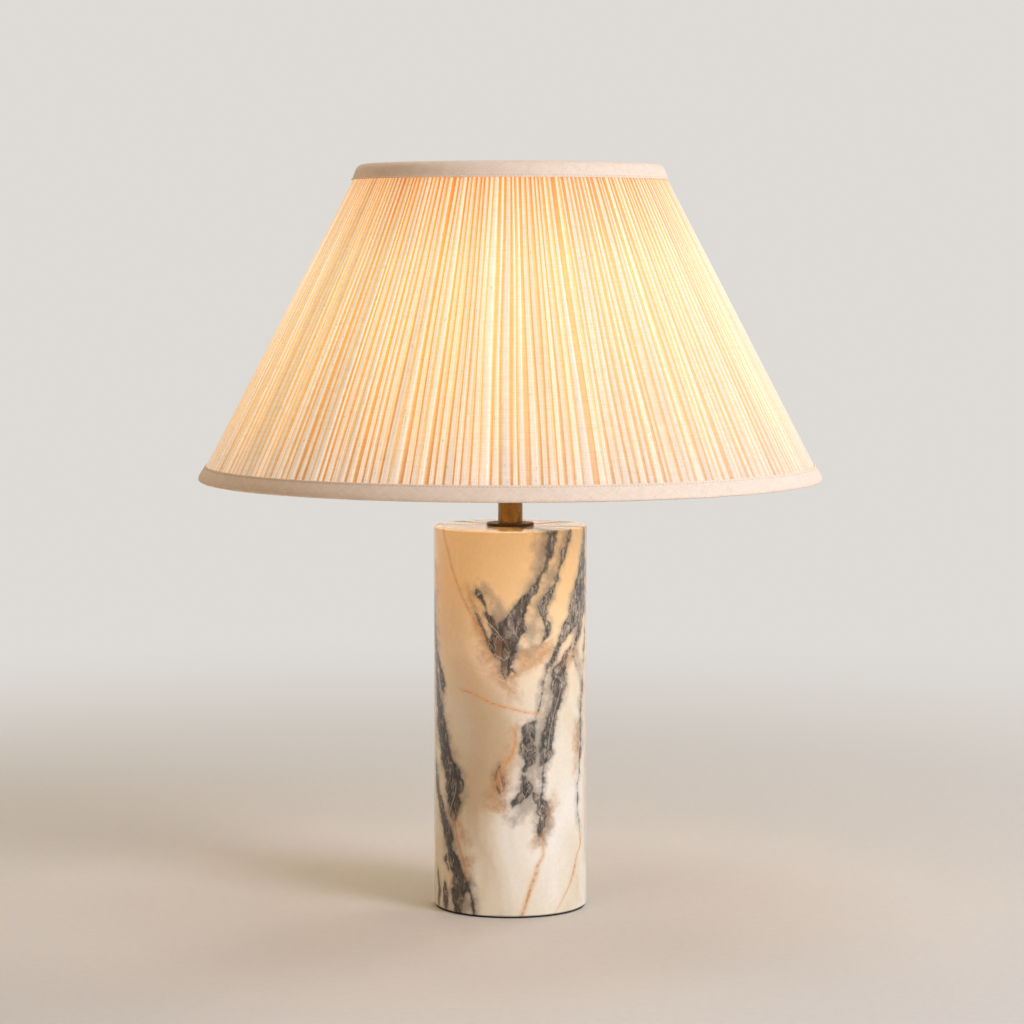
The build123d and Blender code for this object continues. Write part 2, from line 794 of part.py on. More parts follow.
ring_bottom = carrier_hub_top
ring_bore = holder_diameter / 2 + ring_bore_clearance
with BuildPart() as shade_ring:
    with BuildSketch(Plane.XY.offset(ring_bottom)):
        Circle(ring_diameter / 2)
        with PolarLocations(ring_diameter / 2, ring_grip_count):
            Circle(ring_grip_depth, mode=Mode.SUBTRACT)
        Circle(ring_bore, mode=Mode.SUBTRACT)
    extrude(amount=ring_height)
save(shade_ring, "shade_ring")

# ---------------------------------------------------------------- push bar, drawn pushed over to the left
left_knob_face = -holder_diameter / 2 - knob_gap - bar_travel
right_knob_face = holder_diameter / 2 + knob_gap

with BuildPart() as push_bar:
    with BuildSketch(Plane.YZ.offset(left_knob_face)):
        with Locations((0, bar_level)):
            Circle(bar_diameter / 2)
    extrude(amount=right_knob_face - left_knob_face)
save(push_bar, "push_bar")

with BuildPart() as push_knobs:
    with BuildSketch(Plane.YZ.offset(left_knob_face)):
        with Locations((0, bar_level)):
            Circle(knob_diameter / 2)
    extrude(amount=-knob_length)
    with BuildSketch(Plane.YZ.offset(right_knob_face)):
        with Locations((0, bar_level)):
            Circle(knob_diameter / 2)
    extrude(amount=knob_length)
save(push_knobs, "push_knobs")

# ---------------------------------------------------------------- bulb
insulator_bottom = bulb_tip + contact_button_height
insulator_top = insulator_bottom + insulator_height
cap_rim = insulator_top + bulb_cap_length
neck_top = cap_rim + bulb_neck_height
bulb_root_radius = bulb_cap_diameter / 2 - bulb_thread_depth

with BuildPart() as bulb_contact:
    with BuildSketch(Plane.XZ):
        with BuildLine():
            Polyline(
                (0, bulb_tip),
                (contact_button_diameter / 2 - contact_button_round, bulb_tip),
                (contact_button_diameter / 2, bulb_tip + contact_button_height / 2),
                (contact_button_diameter / 2, bulb_tip + contact_button_height),
                (0, bulb_tip + contact_button_height),
                close=True,
            )
        make_face()
    revolve(axis=Axis.Z)
save(bulb_contact, "bulb_contact")

with BuildPart() as bulb_insulator:
    with BuildSketch(Plane.XY.offset(insulator_bottom)):
        Circle(contact_button_diameter / 2)
    with BuildSketch(Plane.XY.offset(insulator_top)):
        Circle(insulator_diameter / 2)
    loft(ruled=True)
save(bulb_insulator, "bulb_insulator")

with BuildPart() as bulb_cap:
    outer = thread_profile(
        bulb_root_radius, bulb_cap_diameter / 2, insulator_top, bulb_thread_turns, bulb_thread_start
    )
    inner = [(r - bulb_cap_wall, z) for r, z in reversed(outer)]
    with BuildSketch(Plane.XZ):
        with BuildLine():
            Polyline(
                (insulator_diameter / 2 - insulator_inset, insulator_top),
                (insulator_diameter / 2, insulator_top),
                *outer,
                (bulb_root_radius, cap_rim - bulb_rim_flare),
                (bulb_cap_diameter / 2, cap_rim),
                (bulb_cap_diameter / 2 - bulb_cap_wall, cap_rim),
                (bulb_root_radius - bulb_cap_wall, cap_rim - bulb_rim_flare),
                *inner,
                (insulator_diameter / 2 - insulator_inset, insulator_top + bulb_cap_wall),
                close=True,
            )
        make_face()
    revolve(axis=Axis.Z)
save(bulb_cap, "bulb_cap")


def globe_outline(wall):
    """Half section of the bulb, shrunk by a wall, as arcs from the neck to the crown."""
    radius = globe_diameter / 2 - wall
    neck = bulb_neck_diameter / 2 - wall
    across = radius * cos(radians(bulb_shoulder_angle))
    down = radius * sin(radians(bulb_shoulder_angle))
    return neck, radius, (across, globe_centre - down)


with BuildPart() as bulb_glass:
    for wall, mode in ((0.0, Mode.ADD), (glass_wall, Mode.SUBTRACT)):
        neck, radius, join = globe_outline(wall)
        with BuildSketch(Plane.XZ):
            with BuildLine():
                bottom = Line((0, cap_rim), (neck, cap_rim))
                side = Line(bottom @ 1, (neck, neck_top))
                Spline(side @ 1, join, tangents=((0, 1), polar(1, 90 - bulb_shoulder_angle)))
                crown = RadiusArc(join, (0, globe_centre + radius), -radius)
                Line(crown @ 1, bottom @ 0)
            make_face()
        revolve(axis=Axis.Z, mode=mode)
save(bulb_glass, "bulb_glass")

with BuildPart() as bulb_stem:
    with BuildSketch(Plane.XY.offset(cap_rim)):
        Circle(bulb_neck_diameter / 2 - glass_wall - filament_gap)
    with BuildSketch(Plane.XY.offset(cap_rim + bulb_stem_flare)):
        Circle(bulb_stem_diameter / 2)
    loft(ruled=True)
    with BuildSketch(Plane.XY.offset(cap_rim + bulb_stem_flare)):
        Circle(bulb_stem_diameter / 2)
    extrude(amount=bulb_stem_height - bulb_stem_flare)
save(bulb_stem, "bulb_stem")

filament_level = cap_rim + bulb_stem_height - filament_overlap
filament_foot = (bulb_stem_diameter + filament_diameter) / 2 + filament_gap
with BuildPart() as bulb_filaments:
    for index in range(filament_count):
        angle = 360 / filament_count * (index + 0.5)
        foot = Vector(*polar(filament_foot, angle), filament_level)
        lean = Vector(*polar(sin(radians(filament_lean)), angle), cos(radians(filament_lean)))
        with BuildSketch(Plane(foot, z_dir=lean)):
            Circle(filament_diameter / 2)
        extrude(amount=filament_length)
save(bulb_filaments, "bulb_filaments")

# ---------------------------------------------------------------- shade carrier, clamped by the shade ring
ledge_outer = fitter_outer_diameter / 2 + fitter_clearance
fitter_inner = fitter_outer_diameter / 2 - fitter_width
ledge_inner = fitter_inner - ledge_reach
ledge_bottom = fitter_level - ledge_thickness
carrier_waist = skirt_shoulder_top + carrier_waist_rise
hub_grip = carrier_hub_diameter / 2 - carrier_wire_diameter
top_grip = (ledge_inner + ledge_outer) / 2
hub_wire_level = skirt_shoulder_top + carrier_hub_thickness / 2


def arm_plane(index):
    """Upright plane through the lamp's axis and an arm, its X running outwards."""
    angle = arm_angle + index * 360 / arm_count
    return Plane(origin=(0, 0, 0), x_dir=(*polar(1, angle), 0), z_dir=(*polar(1, angle - 90), 0))


with BuildPart() as shade_carrier:
    with BuildSketch(Plane.XY.offset(skirt_shoulder_top)):
        Circle(carrier_hub_diameter / 2)
        Circle(holder_diameter / 2 + carrier_hub_clearance, mode=Mode.SUBTRACT)
    extrude(amount=carrier_hub_thickness)
    with BuildSketch(Plane.XY.offset(ledge_bottom)):
        Circle(ledge_outer + ledge_lip_thickness)
        Circle(ledge_inner, mode=Mode.SUBTRACT)
    extrude(amount=ledge_thickness)
    with BuildSketch(Plane.XY.offset(fitter_level)):
        Circle(ledge_outer + ledge_lip_thickness)
        Circle(ledge_outer, mode=Mode.SUBTRACT)
    extrude(amount=ledge_lip_height)
    for index in range(arm_count):
        with BuildLine(arm_plane(index)) as arm_path:
            FilletPolyline(
                (hub_grip, hub_wire_level),
                (carrier_waist_radius, hub_wire_level + carrier_hub_rise),
                (carrier_waist_radius + carrier_waist_splay, carrier_waist),
                (top_grip, ledge_bottom + ledge_thickness / 2),
                radius=[carrier_bend_radius, carrier_bend_radius],
            )
        with BuildSketch(Plane(arm_path.line @ 0, z_dir=arm_path.line % 0)):
            Circle(carrier_wire_diameter / 2)
        sweep(path=arm_path.line)
    with BuildSketch(Plane.XY.offset(fitter_level)):
        Circle(ledge_outer)
    extrude(amount=ledge_lip_height + carrier_wire_diameter, mode=Mode.SUBTRACT)
    with BuildSketch(Plane.XY.offset(carrier_hub_top)):
        Circle(ring_diameter / 2 + carrier_trim_clearance)
    extrude(amount=ring_height, mode=Mode.SUBTRACT)
    with BuildSketch(Plane.XY.offset(skirt_shoulder_top)):
        Circle(skirt_shoulder_diameter / 2 + carrier_trim_clearance)
    extrude(amount=-carrier_wire_diameter, mode=Mode.SUBTRACT)
save(shade_carrier, "shade_carrier")

# ---------------------------------------------------------------- shade frame
top_wire_level = shade_top - lining_inset - trim_thickness - shade_wire_diameter / 2
top_wire_radius = lining_inner(top_wire_level) - shade_wire_gap
bottom_wire_level = shade_bottom + lining_inset + trim_thickness + shade_wire_diameter / 2
bottom_wire_radius = lining_inner(bottom_wire_level) - shade_wire_gap
fitter_top = fitter_level + fitter_thickness
fitter_middle = fitter_outer_diameter / 2 - fitter_width / 2

with BuildPart() as shade_top_frame:
    with BuildSketch(Plane.XZ):
        with Locations((top_wire_radius, top_wire_level)):
            Circle(shade_wire_diameter / 2)
    revolve(axis=Axis.Z)
    with BuildSketch(Plane.XY.offset(fitter_level)):
        Circle(fitter_outer_diameter / 2)
        Circle(fitter_inner, mode=Mode.SUBTRACT)
    extrude(amount=fitter_thickness)
    for index in range(arm_count):
        with BuildLine(arm_plane(index)) as arm_path:
            FilletPolyline(
                (fitter_middle, fitter_top - fitter_thickness / 2),
                (fitter_middle, fitter_top + arm_rise),
                (top_wire_radius - arm_landing, top_wire_level),
                (top_wire_radius, top_wire_level),
                radius=[arm_lower_bend, arm_upper_bend],
            )
        with BuildSketch(Plane(arm_path.line @ 0, z_dir=arm_path.line % 0)):
            Circle(shade_wire_diameter / 2)
        sweep(path=arm_path.line)
save(shade_top_frame, "shade_top_frame")

with BuildPart() as shade_bottom_ring:
    with BuildSketch(Plane.XZ):
        with Locations((bottom_wire_radius, bottom_wire_level)):
            Circle(shade_wire_diameter / 2)
    revolve(axis=Axis.Z)
save(shade_bottom_ring, "shade_bottom_ring")

# ---------------------------------------------------------------- lining, gathered cloth and tapes
cloth_bottom = shade_bottom + lining_inset
cloth_top = shade_top - lining_inset

with BuildPart() as shade_lining:
    for radius_of, mode in ((lining_outer, Mode.ADD), (lining_inner, Mode.SUBTRACT)):
        with BuildSketch(Plane.XY.offset(cloth_bottom)):
            Circle(radius_of(cloth_bottom))
        with BuildSketch(Plane.XY.offset(cloth_top)):
            Circle(radius_of(cloth_top))
        loft(ruled=True, mode=mode)
save(shade_lining, "shade_lining")


corners_per_gather = 4


def pleat_angles():
    """Corners of the gathers round the shade: four per gather, each (angle, lies in a valley)."""
    widths = [
        1 + pleat_unevenness * (0.6 * sin(2.31 * k + 0.4) + 0.4 * sin(5.17 * k + 1.9))
        for k in range(pleat_count)
    ]
    whole = sum(widths)
    corners = []
    start = 0.0
    for width in widths:
        share = width / whole * 2 * pi
        flank = share * pleat_flank_share
        ridge = share * (1 - pleat_valley_share - 2 * pleat_flank_share)
        corners.append((start, False))
        corners.append((start + ridge, False))
        corners.append((start + ridge + flank, True))
        corners.append((start + share - flank, True))
        start += share
    return corners


def gathered_outline(height):
    """Corner points of the gathered cloth at a height, all in proportion to its radius."""
    outer = cloth_radius(height)
    valley = outer * (1 - pleat_depth / (shade_bottom_diameter / 2))
    return [
        ((valley if low else outer) * cos(angle), (valley if low else outer) * sin(angle))
        for angle, low in pleat_angles()
    ]


def gathered_inside(height):
    """Corner points of the cloth's inner face: a flat strip to each gather, just outside the lining."""
    starts = [angle for angle, low in pleat_angles()][::corners_per_gather]
    widest = max(after - before for before, after in zip(starts, starts[1:]))
    reach = lining_outer(height) / cos(widest / 2)
    return [(reach * cos(angle), reach * sin(angle)) for angle in starts]


with BuildPart() as pleated_linen:
    for outline, mode in ((gathered_outline, Mode.ADD), (gathered_inside, Mode.SUBTRACT)):
        for height in (cloth_bottom, cloth_top):
            with BuildSketch(Plane.XY.offset(height)):
                Polygon(*outline(height))
        loft(ruled=True, clean=False, mode=mode)
save(pleated_linen, "pleated_linen")

# each tape is a strip folded over the rim: outside the cloth, round the edge, and back inside over the wire


def outside_tape(height, stand):
    """Radius of a line on the outer side of a tape."""
    return cloth_radius(height) + trim_stand + stand


bottom_tape_top = shade_bottom + trim_height
wire_inner_face = bottom_wire_radius - shade_wire_diameter / 2 - trim_stand
bottom_turn_in = bottom_wire_level + trim_inner_height
bottom_lining_face = lining_inner(bottom_turn_in) - trim_stand * shade_slant
with BuildPart() as bottom_trim:
    with BuildSketch(Plane.XZ):
        with BuildLine():
            Polyline(
                (outside_tape(bottom_tape_top, 0), bottom_tape_top),
                (outside_tape(bottom_tape_top, trim_thickness), bottom_tape_top),
                (outside_tape(shade_bottom + trim_round, trim_thickness), shade_bottom + trim_round),
                (outside_tape(shade_bottom, trim_thickness) - trim_round, shade_bottom),
                (wire_inner_face - trim_thickness + trim_round, shade_bottom),
                (wire_inner_face - trim_thickness, shade_bottom + trim_round),
                (wire_inner_face - trim_thickness, bottom_wire_level + trim_round),
                (bottom_lining_face - trim_thickness, bottom_turn_in),
                (bottom_lining_face, bottom_turn_in),
                (wire_inner_face, bottom_wire_level + trim_round),
                (wire_inner_face, shade_bottom + trim_thickness),
                (outside_tape(shade_bottom + trim_thickness, 0), shade_bottom + trim_thickness),
                close=True,
            )
        make_face()
    revolve(axis=Axis.Z)
save(bottom_trim, "bottom_trim")

top_tape_bottom = shade_top - trim_height
top_wire_inner_face = top_wire_radius - shade_wire_diameter / 2 - trim_stand
top_turn_in = top_wire_level - trim_inner_height
top_lining_face = lining_inner(top_turn_in) - trim_stand * shade_slant
with BuildPart() as top_trim:
    with BuildSketch(Plane.XZ):
        with BuildLine():
            Polyline(
                (outside_tape(top_tape_bottom, 0), top_tape_bottom),
                (outside_tape(top_tape_bottom, trim_thickness), top_tape_bottom),
                (outside_tape(shade_top - top_corner_drop, top_corner_stand), shade_top - top_corner_drop),
                (outside_tape(shade_top - trim_round, top_corner_stand), shade_top - trim_round),
                (outside_tape(shade_top, 0), shade_top),
                (top_wire_inner_face - trim_thickness + trim_round, shade_top),
                (top_wire_inner_face - trim_thickness, shade_top - trim_round),
                (top_wire_inner_face - trim_thickness, top_wire_level - trim_round),
                (top_lining_face - trim_thickness, top_turn_in),
                (top_lining_face, top_turn_in),
                (top_wire_inner_face, top_wire_level - trim_round),
                (top_wire_inner_face, shade_top - trim_thickness),
                (outside_tape(shade_top - trim_thickness, 0), shade_top - trim_thickness),
                close=True,
            )
        make_face()
    revolve(axis=Axis.Z)
    for index in range(arm_count):
        with BuildSketch(arm_plane(index).offset(-shade_wire_diameter / 2 - trim_stand)):
            with Locations((top_wire_radius - shade_wire_diameter, top_wire_level)):
                Rectangle(2 * shade_wire_diameter, shade_wire_diameter + 2 * trim_stand)
        extrude(amount=shade_wire_diameter + 2 * trim_stand, mode=Mode.SUBTRACT)
save(top_trim, "top_trim")

print("wire_live bend radii", [round(radius, 1) for radius in bend_radii(live_points)])
print("wire_neutral bend radii", [round(radius, 1) for radius in bend_radii(neutral_points)])
print("wire_earth bend radii", [round(radius, 1) for radius in bend_radii(earth_points)])
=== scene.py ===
"""Column table lamp: the looks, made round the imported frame.

Sizes are in millimetres until they reach a mesh. A noise's scale is 1000 over its size in millimetres,
because Object coordinates are in metres.
"""

import json
from math import atan2, cos, exp, hypot, pi, radians, sin

import bmesh
import bpy
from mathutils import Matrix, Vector


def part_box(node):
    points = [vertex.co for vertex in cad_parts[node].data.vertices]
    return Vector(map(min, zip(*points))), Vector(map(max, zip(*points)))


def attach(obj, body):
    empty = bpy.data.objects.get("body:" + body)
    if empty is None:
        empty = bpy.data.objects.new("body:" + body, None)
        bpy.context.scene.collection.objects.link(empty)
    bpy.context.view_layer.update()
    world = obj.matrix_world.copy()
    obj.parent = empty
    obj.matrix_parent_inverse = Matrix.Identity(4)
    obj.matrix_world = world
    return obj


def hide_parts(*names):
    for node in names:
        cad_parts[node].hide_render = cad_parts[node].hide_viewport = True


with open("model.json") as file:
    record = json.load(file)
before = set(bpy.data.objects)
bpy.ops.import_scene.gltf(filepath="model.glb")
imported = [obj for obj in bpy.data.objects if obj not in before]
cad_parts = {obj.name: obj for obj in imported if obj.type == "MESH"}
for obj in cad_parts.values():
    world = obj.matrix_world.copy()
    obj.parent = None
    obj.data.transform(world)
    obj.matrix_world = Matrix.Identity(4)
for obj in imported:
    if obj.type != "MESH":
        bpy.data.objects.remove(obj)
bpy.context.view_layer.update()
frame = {"nodes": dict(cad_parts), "record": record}

MM = 0.001

# ------------------------ driving sizes, as in the part
shade_bottom = 280.0
shade_top = 484.5
cloth_bottom_radius = 202.6
cloth_top_radius = 96.4
cloth_inset = 2.5
cloth_thickness = 0.3
fold_depth = 1.45
pleat_count = 108
pleat_unevenness = 0.3
cloth_rows = 14

tape_height = 10.4
tape_thickness = 0.7
tape_steps = 180
stitch_inset = 1.3       # the stitches run this far from the tape's lip, towards the rim

column_height = 250.0
column_radius = 50.0

# the strip that was gathered: its width goes round the folds, its length runs up the slant
linen_cut_width = 1390.0
linen_cut_length = 226.6


def cloth_radius(height):
    """Outer radius of the gathered cloth at a height above the table."""
    share = (height - shade_bottom) / (shade_top - shade_bottom)
    return cloth_bottom_radius + share * (cloth_top_radius - cloth_bottom_radius)


# ------------------------ colours and nodes
def linear(hex_colour):
    """An sRGB hex colour as linear RGBA."""
    parts = [int(hex_colour[i : i + 2], 16) / 255 for i in (1, 3, 5)]
    return (*[p / 12.92 if p <= 0.04045 else ((p + 0.055) / 1.055) ** 2.4 for p in parts], 1.0)


def live_output(node):
    """A node's first output in use."""
    return next(s for s in node.outputs if s.enabled)


def add(tree, kind, links=None, **settings):
    """Adds a node with its settings and links. A link's value is a number, a colour, a socket or a node."""
    made = tree.nodes.new("ShaderNode" + kind)
    for name, value in settings.items():
        setattr(made, name, value)
    sockets = [s for s in made.inputs if s.enabled]
    for key, value in (links or {}).items():
        socket = sockets[key] if isinstance(key, int) else next(s for s in sockets if s.name == key)
        if isinstance(value, bpy.types.Node):
            value = live_output(value)
        if isinstance(value, bpy.types.NodeSocket):
            tree.links.new(value, socket)
        else:
            socket.default_value = value
    return made


def feed(tree, node, **sources):
    """Links other nodes to a node's sockets. Underscores in a socket's name stand for spaces."""
    for key, source in sources.items():
        tree.links.new(live_output(source), node.inputs[key.replace("_", " ")])


def layered(tree, base, *layers):
    """Lays colours over a base in turn, each (share that it covers, hex colour or node)."""
    for share, tint in layers:
        above = linear(tint) if isinstance(tint, str) else tint
        base = add(tree, "Mix", {"Factor": share, "A": base, "B": above}, data_type="RGBA")
    return base


def ramp_stops(node, stops):
    """Sets a colour ramp's stops, each (place, hex colour)."""
    elements = node.color_ramp.elements
    while len(elements) > 1:
        elements.remove(elements[-1])
    for index, (place, colour) in enumerate(stops):
        stop = elements[0] if index == 0 else elements.new(place)
        stop.position = place
        stop.color = linear(colour)
    return node


def material(name, colour, **sockets):
    """A Principled material, its tree and its shader. Underscores in a socket's name stand for spaces."""
    made = bpy.data.materials.new(name)
    made.use_nodes = True
    shader = made.node_tree.nodes["Principled BSDF"]
    shader.inputs["Base Color"].default_value = linear(colour)
    for key, value in sockets.items():
        shader.inputs[key.replace("_", " ")].default_value = value
    return made, made.node_tree, shader


# ------------------------ stone
# Polished breccia marble, sawn, cored and honed to a gloss: a soft cream ground with the lamp's light
# painted on it as honey towards the top, charcoal veins that are crushed and mottled inside, rust along the
# cracks, and hairlines of white calcite.
stone_half_girth = 160.0     # the bands' curves reach this far to each side, a little past the back
fade_past_end = 14.0         # past its ends a band narrows by this much, over this length

# how far edges stray: in slow bends, in a fine crumble, in the clouds' ragged edges and on the thin lines
edge_wander = 5.0
edge_crumble = 1.6
cloud_tear = 22.0
line_crumble = 1.4
hairline_crumble = 2.0

# the stone's beds lean to one side and are drawn out upwards
bed_lean = 14.0
bed_stretch = 0.45
cell_size = 4.5              # of the crushed stone inside the veins

# Each vein is a list of (height, place round the column from the front, half width), in millimetres.
dark_veins = [
    [(157, -3, 0.5), (162, -3, 3.2), (167, -2, 4.0), (174, -4, 7.5), (181, -4, 10.0), (187, 0, 9.4),
     (194, 3, 7.4), (201, 7, 5.2), (207, 9.5, 3.6), (211, 15, 3.2), (217, 17.5, 2.4), (223, 21.5, 2.2),
     (230, 24, 2.5), (240, 27, 3.2), (250, 29, 5.2)],
    [(186, -9, 3.0), (192, -13, 2.2), (197, -15, 1.6), (203, -16.5, 1.3), (208, -19, 1.5), (212, -21, 0.0)],
    [(166, -4, 1.6), (172, -10, 1.5), (179, -15, 1.4), (186, -17, 1.1), (193, -21, 0.8), (198, -23, 0.0)],
    [(179, 22, 0.0), (185, 25, 1.9), (194, 23, 2.4), (201, 22, 3.0), (208, 26, 2.2), (215, 30, 1.4),
     (224, 34, 1.5), (233, 37, 2.6), (240, 41, 2.4), (250, 45, 1.2)],
    [(163, 28, 0.6), (169, 30, 2.8), (180, 37, 4.2), (186, 43, 6.5), (194, 52, 11.0), (204, 55, 10.5),
     (216, 58, 8.6), (231, 62, 5.4), (250, 64, 1.8)],
    [(160, 52, 0.0), (172, 47, 1.2), (182, 55, 3.4), (196, 58, 3.0), (206, 62, 0.0)],
    [(98, 19.5, 0.6), (102, 23, 3.2), (108, 24, 4.8), (116, 25.5, 5.4), (124, 27, 4.6), (130, 28, 4.0),
     (136, 31, 4.8), (143, 34, 5.0), (151, 34, 6.4), (159, 34.5, 6.0), (166, 38, 2.4), (178, 47, 1.2)],
    [(129, 15.5, 0.6), (136, 18.5, 0.5), (144, 21.5, 0.6), (152, 22.5, 0.4), (161, 24.5, 0.7),
     (168, 28, 0.8)],
    [(72, 1, 0.0), (76, 3, 3.0), (80, 8, 4.0), (85, 11.4, 3.8), (91, 9, 1.0), (97, 9.5, 1.8), (102, 12, 3.2),
     (109, 12, 5.0), (115, 10.7, 4.2), (122, 11.5, 4.2), (127, 15, 1.6)],
    [(78, 20, 0.5), (88, 22, 0.9), (98, 22, 0.6)],
    [(48, 22.5, 0.0), (53, 21.5, 2.0), (59, 20.3, 2.8), (64, 20.7, 2.4), (68, 21.5, 3.6), (74, 20.5, 4.4),
     (79, 16.5, 2.4), (82, 14.5, 0.5)],
    [(50, 57, 0.5), (59, 55, 1.3), (69, 52, 1.5), (84, 53.5, 1.4), (105, 56.5, 1.4), (138, 58.5, 1.3),
     (165, 63, 1.2), (200, 67, 0.8), (250, 70, 1.0)],
    [(60, -41, 0.0), (64, -41.5, 2.2), (71, -41, 4.6), (79, -41.5, 6.4), (86, -41, 8.6), (92, -43, 8.0),
     (99, -47, 7.2), (105, -49.5, 5.8), (117, -54.5, 5.6), (127, -57.5, 5.0), (137, -59.5, 3.4),
     (146, -62, 2.4), (160, -64, 2.0), (186, -68, 1.4), (206, -70, 0.0)],
    [(142, -53, 0.0), (146, -53, 1.2), (152, -55, 1.9), (159, -57, 1.9), (165, -61, 1.5), (176, -64, 0.0)],
    [(0, -38, 2.6), (6, -38.5, 3.6), (13, -37, 5.4), (19, -35, 6.2), (26, -36, 5.8), (32, -39, 5.2),
     (38, -42, 4.4), (45, -46, 3.2), (52, -47.5, 4.0), (60, -52, 3.4), (67, -55, 3.0), (76, -60, 2.6),
     (88, -64, 2.0), (100, -66, 0.0)],
    [(0, -24, 0.8), (5.5, -25, 1.3), (14.5, -27.5, 1.4), (22, -31, 0.8)],
    [(0, -49, 1.0), (8, -50, 2.0), (17, -50, 0.4)],
    [(4, -60, 0.4), (12, -59, 1.6), (24, -61, 0.4)],
    [(30, -48, 0.3), (35, -50, 1.5), (38, -49, 0.3)],
    [(80, -6, 0.2), (85, -6, 1.3), (91, -7, 1.4), (98, -7, 0.2)],
    [(0, 92, 4.0), (30, 97, 6.5), (58, 104, 7.0), (86, 103, 4.5), (120, 96, 4.0), (154, 88, 3.0),
     (188, 84, 0.0)],
    [(110, 118, 0.0), (134, 124, 5.0), (162, 130, 7.5), (190, 128, 6.0), (220, 120, 4.0), (250, 112, 5.0)],
    [(20, 132, 0.0), (44, 128, 1.6), (78, 126, 1.6), (104, 120, 0.0)],
    [(0, -108, 3.0), (26, -112, 5.0), (60, -120, 6.5), (92, -124, 5.0), (118, -122, 0.0)],
    [(96, -96, 0.0), (124, -94, 3.0), (158, -98, 6.5), (196, -108, 7.0), (226, -114, 4.0), (250, -116, 3.0)],
    [(150, -84, 0.0), (176, -80, 1.6), (214, -84, 2.0), (250, -88, 1.4)],
    [(36, -140, 0.0), (70, -138, 1.8), (116, -144, 1.6), (160, -140, 1.6), (204, -136, 0.0)],
]
# smoke-grey clouds that lie against the veins
smoke = [
    [(172, -2, 6), (180, -3, 9), (190, -4, 9), (197, -5, 7), (205, -10, 3), (213, -16, 1)],
    [(206, 8, 2), (216, 15, 3), (228, 20, 4), (240, 23, 5), (250, 25, 6)],
    [(178, 14, 3), (192, 15, 6), (205, 22, 5), (222, 28, 3), (238, 36, 3), (250, 41, 2)],
    [(98, 18, 7), (112, 18, 9), (128, 22, 5), (145, 27, 4), (160, 28, 3)],
    [(68, 6, 4), (80, 12, 7), (92, 14, 5), (104, 14, 6)],
    [(50, 22, 1), (66, 22, 5), (80, 17, 4)],
    [(112, 58, 2), (150, 58, 2), (180, 50, 5), (205, 56, 7), (225, 60, 4)],
    [(0, -34, 9), (20, -33, 8), (44, -42, 6), (62, -46, 5), (78, -40, 7), (96, -44, 8), (118, -53, 6),
     (150, -58, 4)],
    [(20, 98, 8), (60, 104, 12), (110, 100, 8), (160, 124, 12), (210, 124, 10)],
    [(20, -112, 8), (70, -120, 12), (120, -104, 8), (180, -104, 12), (230, -114, 8)],
]
# tan depths of the stone, where it lets less light back; a half width below nothing leaves only a faint tinge
tan_depths = [
    [(0, -6, -4), (30, -10, -3), (60, -24, 4), (84, -18, 16), (110, -12, 20), (140, -16, 18), (160, -26, 10)],
    [(40, 70, 4), (110, 74, 8), (190, 80, 6)],
    [(70, -90, 10), (150, -116, 18), (210, -126, 8)],
    [(60, 120, 8), (170, 124, 12)],
]
# iron stain: rust lines and the warm patches round the crushed stone
rust_lines = [
    [(0, 7.5, 0.7), (7, 10, 0.8), (13.5, 12, 0.8), (20, 14.2, 1.0), (27, 17, 1.2), (34.7, 19.2, 0.9),
     (41, 22.6, 0.5), (52, 22.4, 0.4)],
    [(10, 38, 0.0), (19.5, 45, 0.4), (28, 49.6, 0.9), (36, 52.5, 0.5), (44.5, 58, 0.6), (52, 57, 0.0)],
    [(84, -5, 0.6), (90, -7, 1.0), (98, -4, 0.9), (107, 2, 0.9), (119, 4, 0.5), (124, 2, 0.0)],
    [(176, -15, 0.3), (189, -21, 0.5), (203, -30, 0.4), (224, -41, 0.3), (236, -46, 0.4), (250, -52, 0.2)],
    [(28, -30, 0.4), (36, -32, 0.9), (46, -36, 0.5), (58, -39, 0.6), (64, -41, 0.2)],
    [(0, 78, 0.6), (60, 84, 0.8), (120, 80, 0.6), (190, 90, 0.0)],
    [(20, -92, 0.0), (90, -100, 0.8), (170, -90, 0.7), (250, -96, 0.5)],
]
rust_patches = [
    [(148, 1, 2), (156, 2, 5), (162, 8, 7), (167, 14, 10), (172, 17, 12), (176, 22, 7), (179, 27, 2)],
    [(162, 40, 4), (168, 44, 7), (173, 46, 3)],
    [(146, 2, 1), (158, -7, 5), (172, -14, 5), (186, -19, 5), (198, -22, 4), (210, -27, 2)],
    [(68, -6, 1), (73, -8, 7), (79, -10, 6), (86, -7, 5), (96, -5, 5), (108, 1, 4), (120, 3, 2)],
    [(168, -6, 2), (176, -8, 6), (184, -8, 4), (190, -10, 1)],
    [(96, 50, 1), (108, 52, 4), (124, 52, 1)],
    [(50, 18, 2), (60, 24, 3), (74, 28, 2)],
    [(28, -28, 1), (46, -31, 3), (60, -36, 2)],
    [(110, -66, 2), (170, -66, 4), (220, -66, 3)],
    [(40, 110, 8), (120, 112, 9), (180, 116, 5)],
    [(30, -104, 6), (130, -110, 9), (220, -102, 6)],
]
calcite_lines = [
    [(196, 1, 0.18), (212, -9, 0.24), (226, -18, 0.18), (238, -26, 0.05)],
    [(88, 30, 0.05), (104, 26, 0.12), (150, 37, 0.12), (178, 50, 0.05)],
    [(62, -46, 0.1), (70, -43, 0.3), (79, -39, 0.22), (86, -38, 0.05)],
    [(20, 100, 0.05), (120, 118, 0.25), (210, 96, 0.05)],
    [(40, -130, 0.05), (120, -104, 0.25), (220, -124, 0.05)],
]
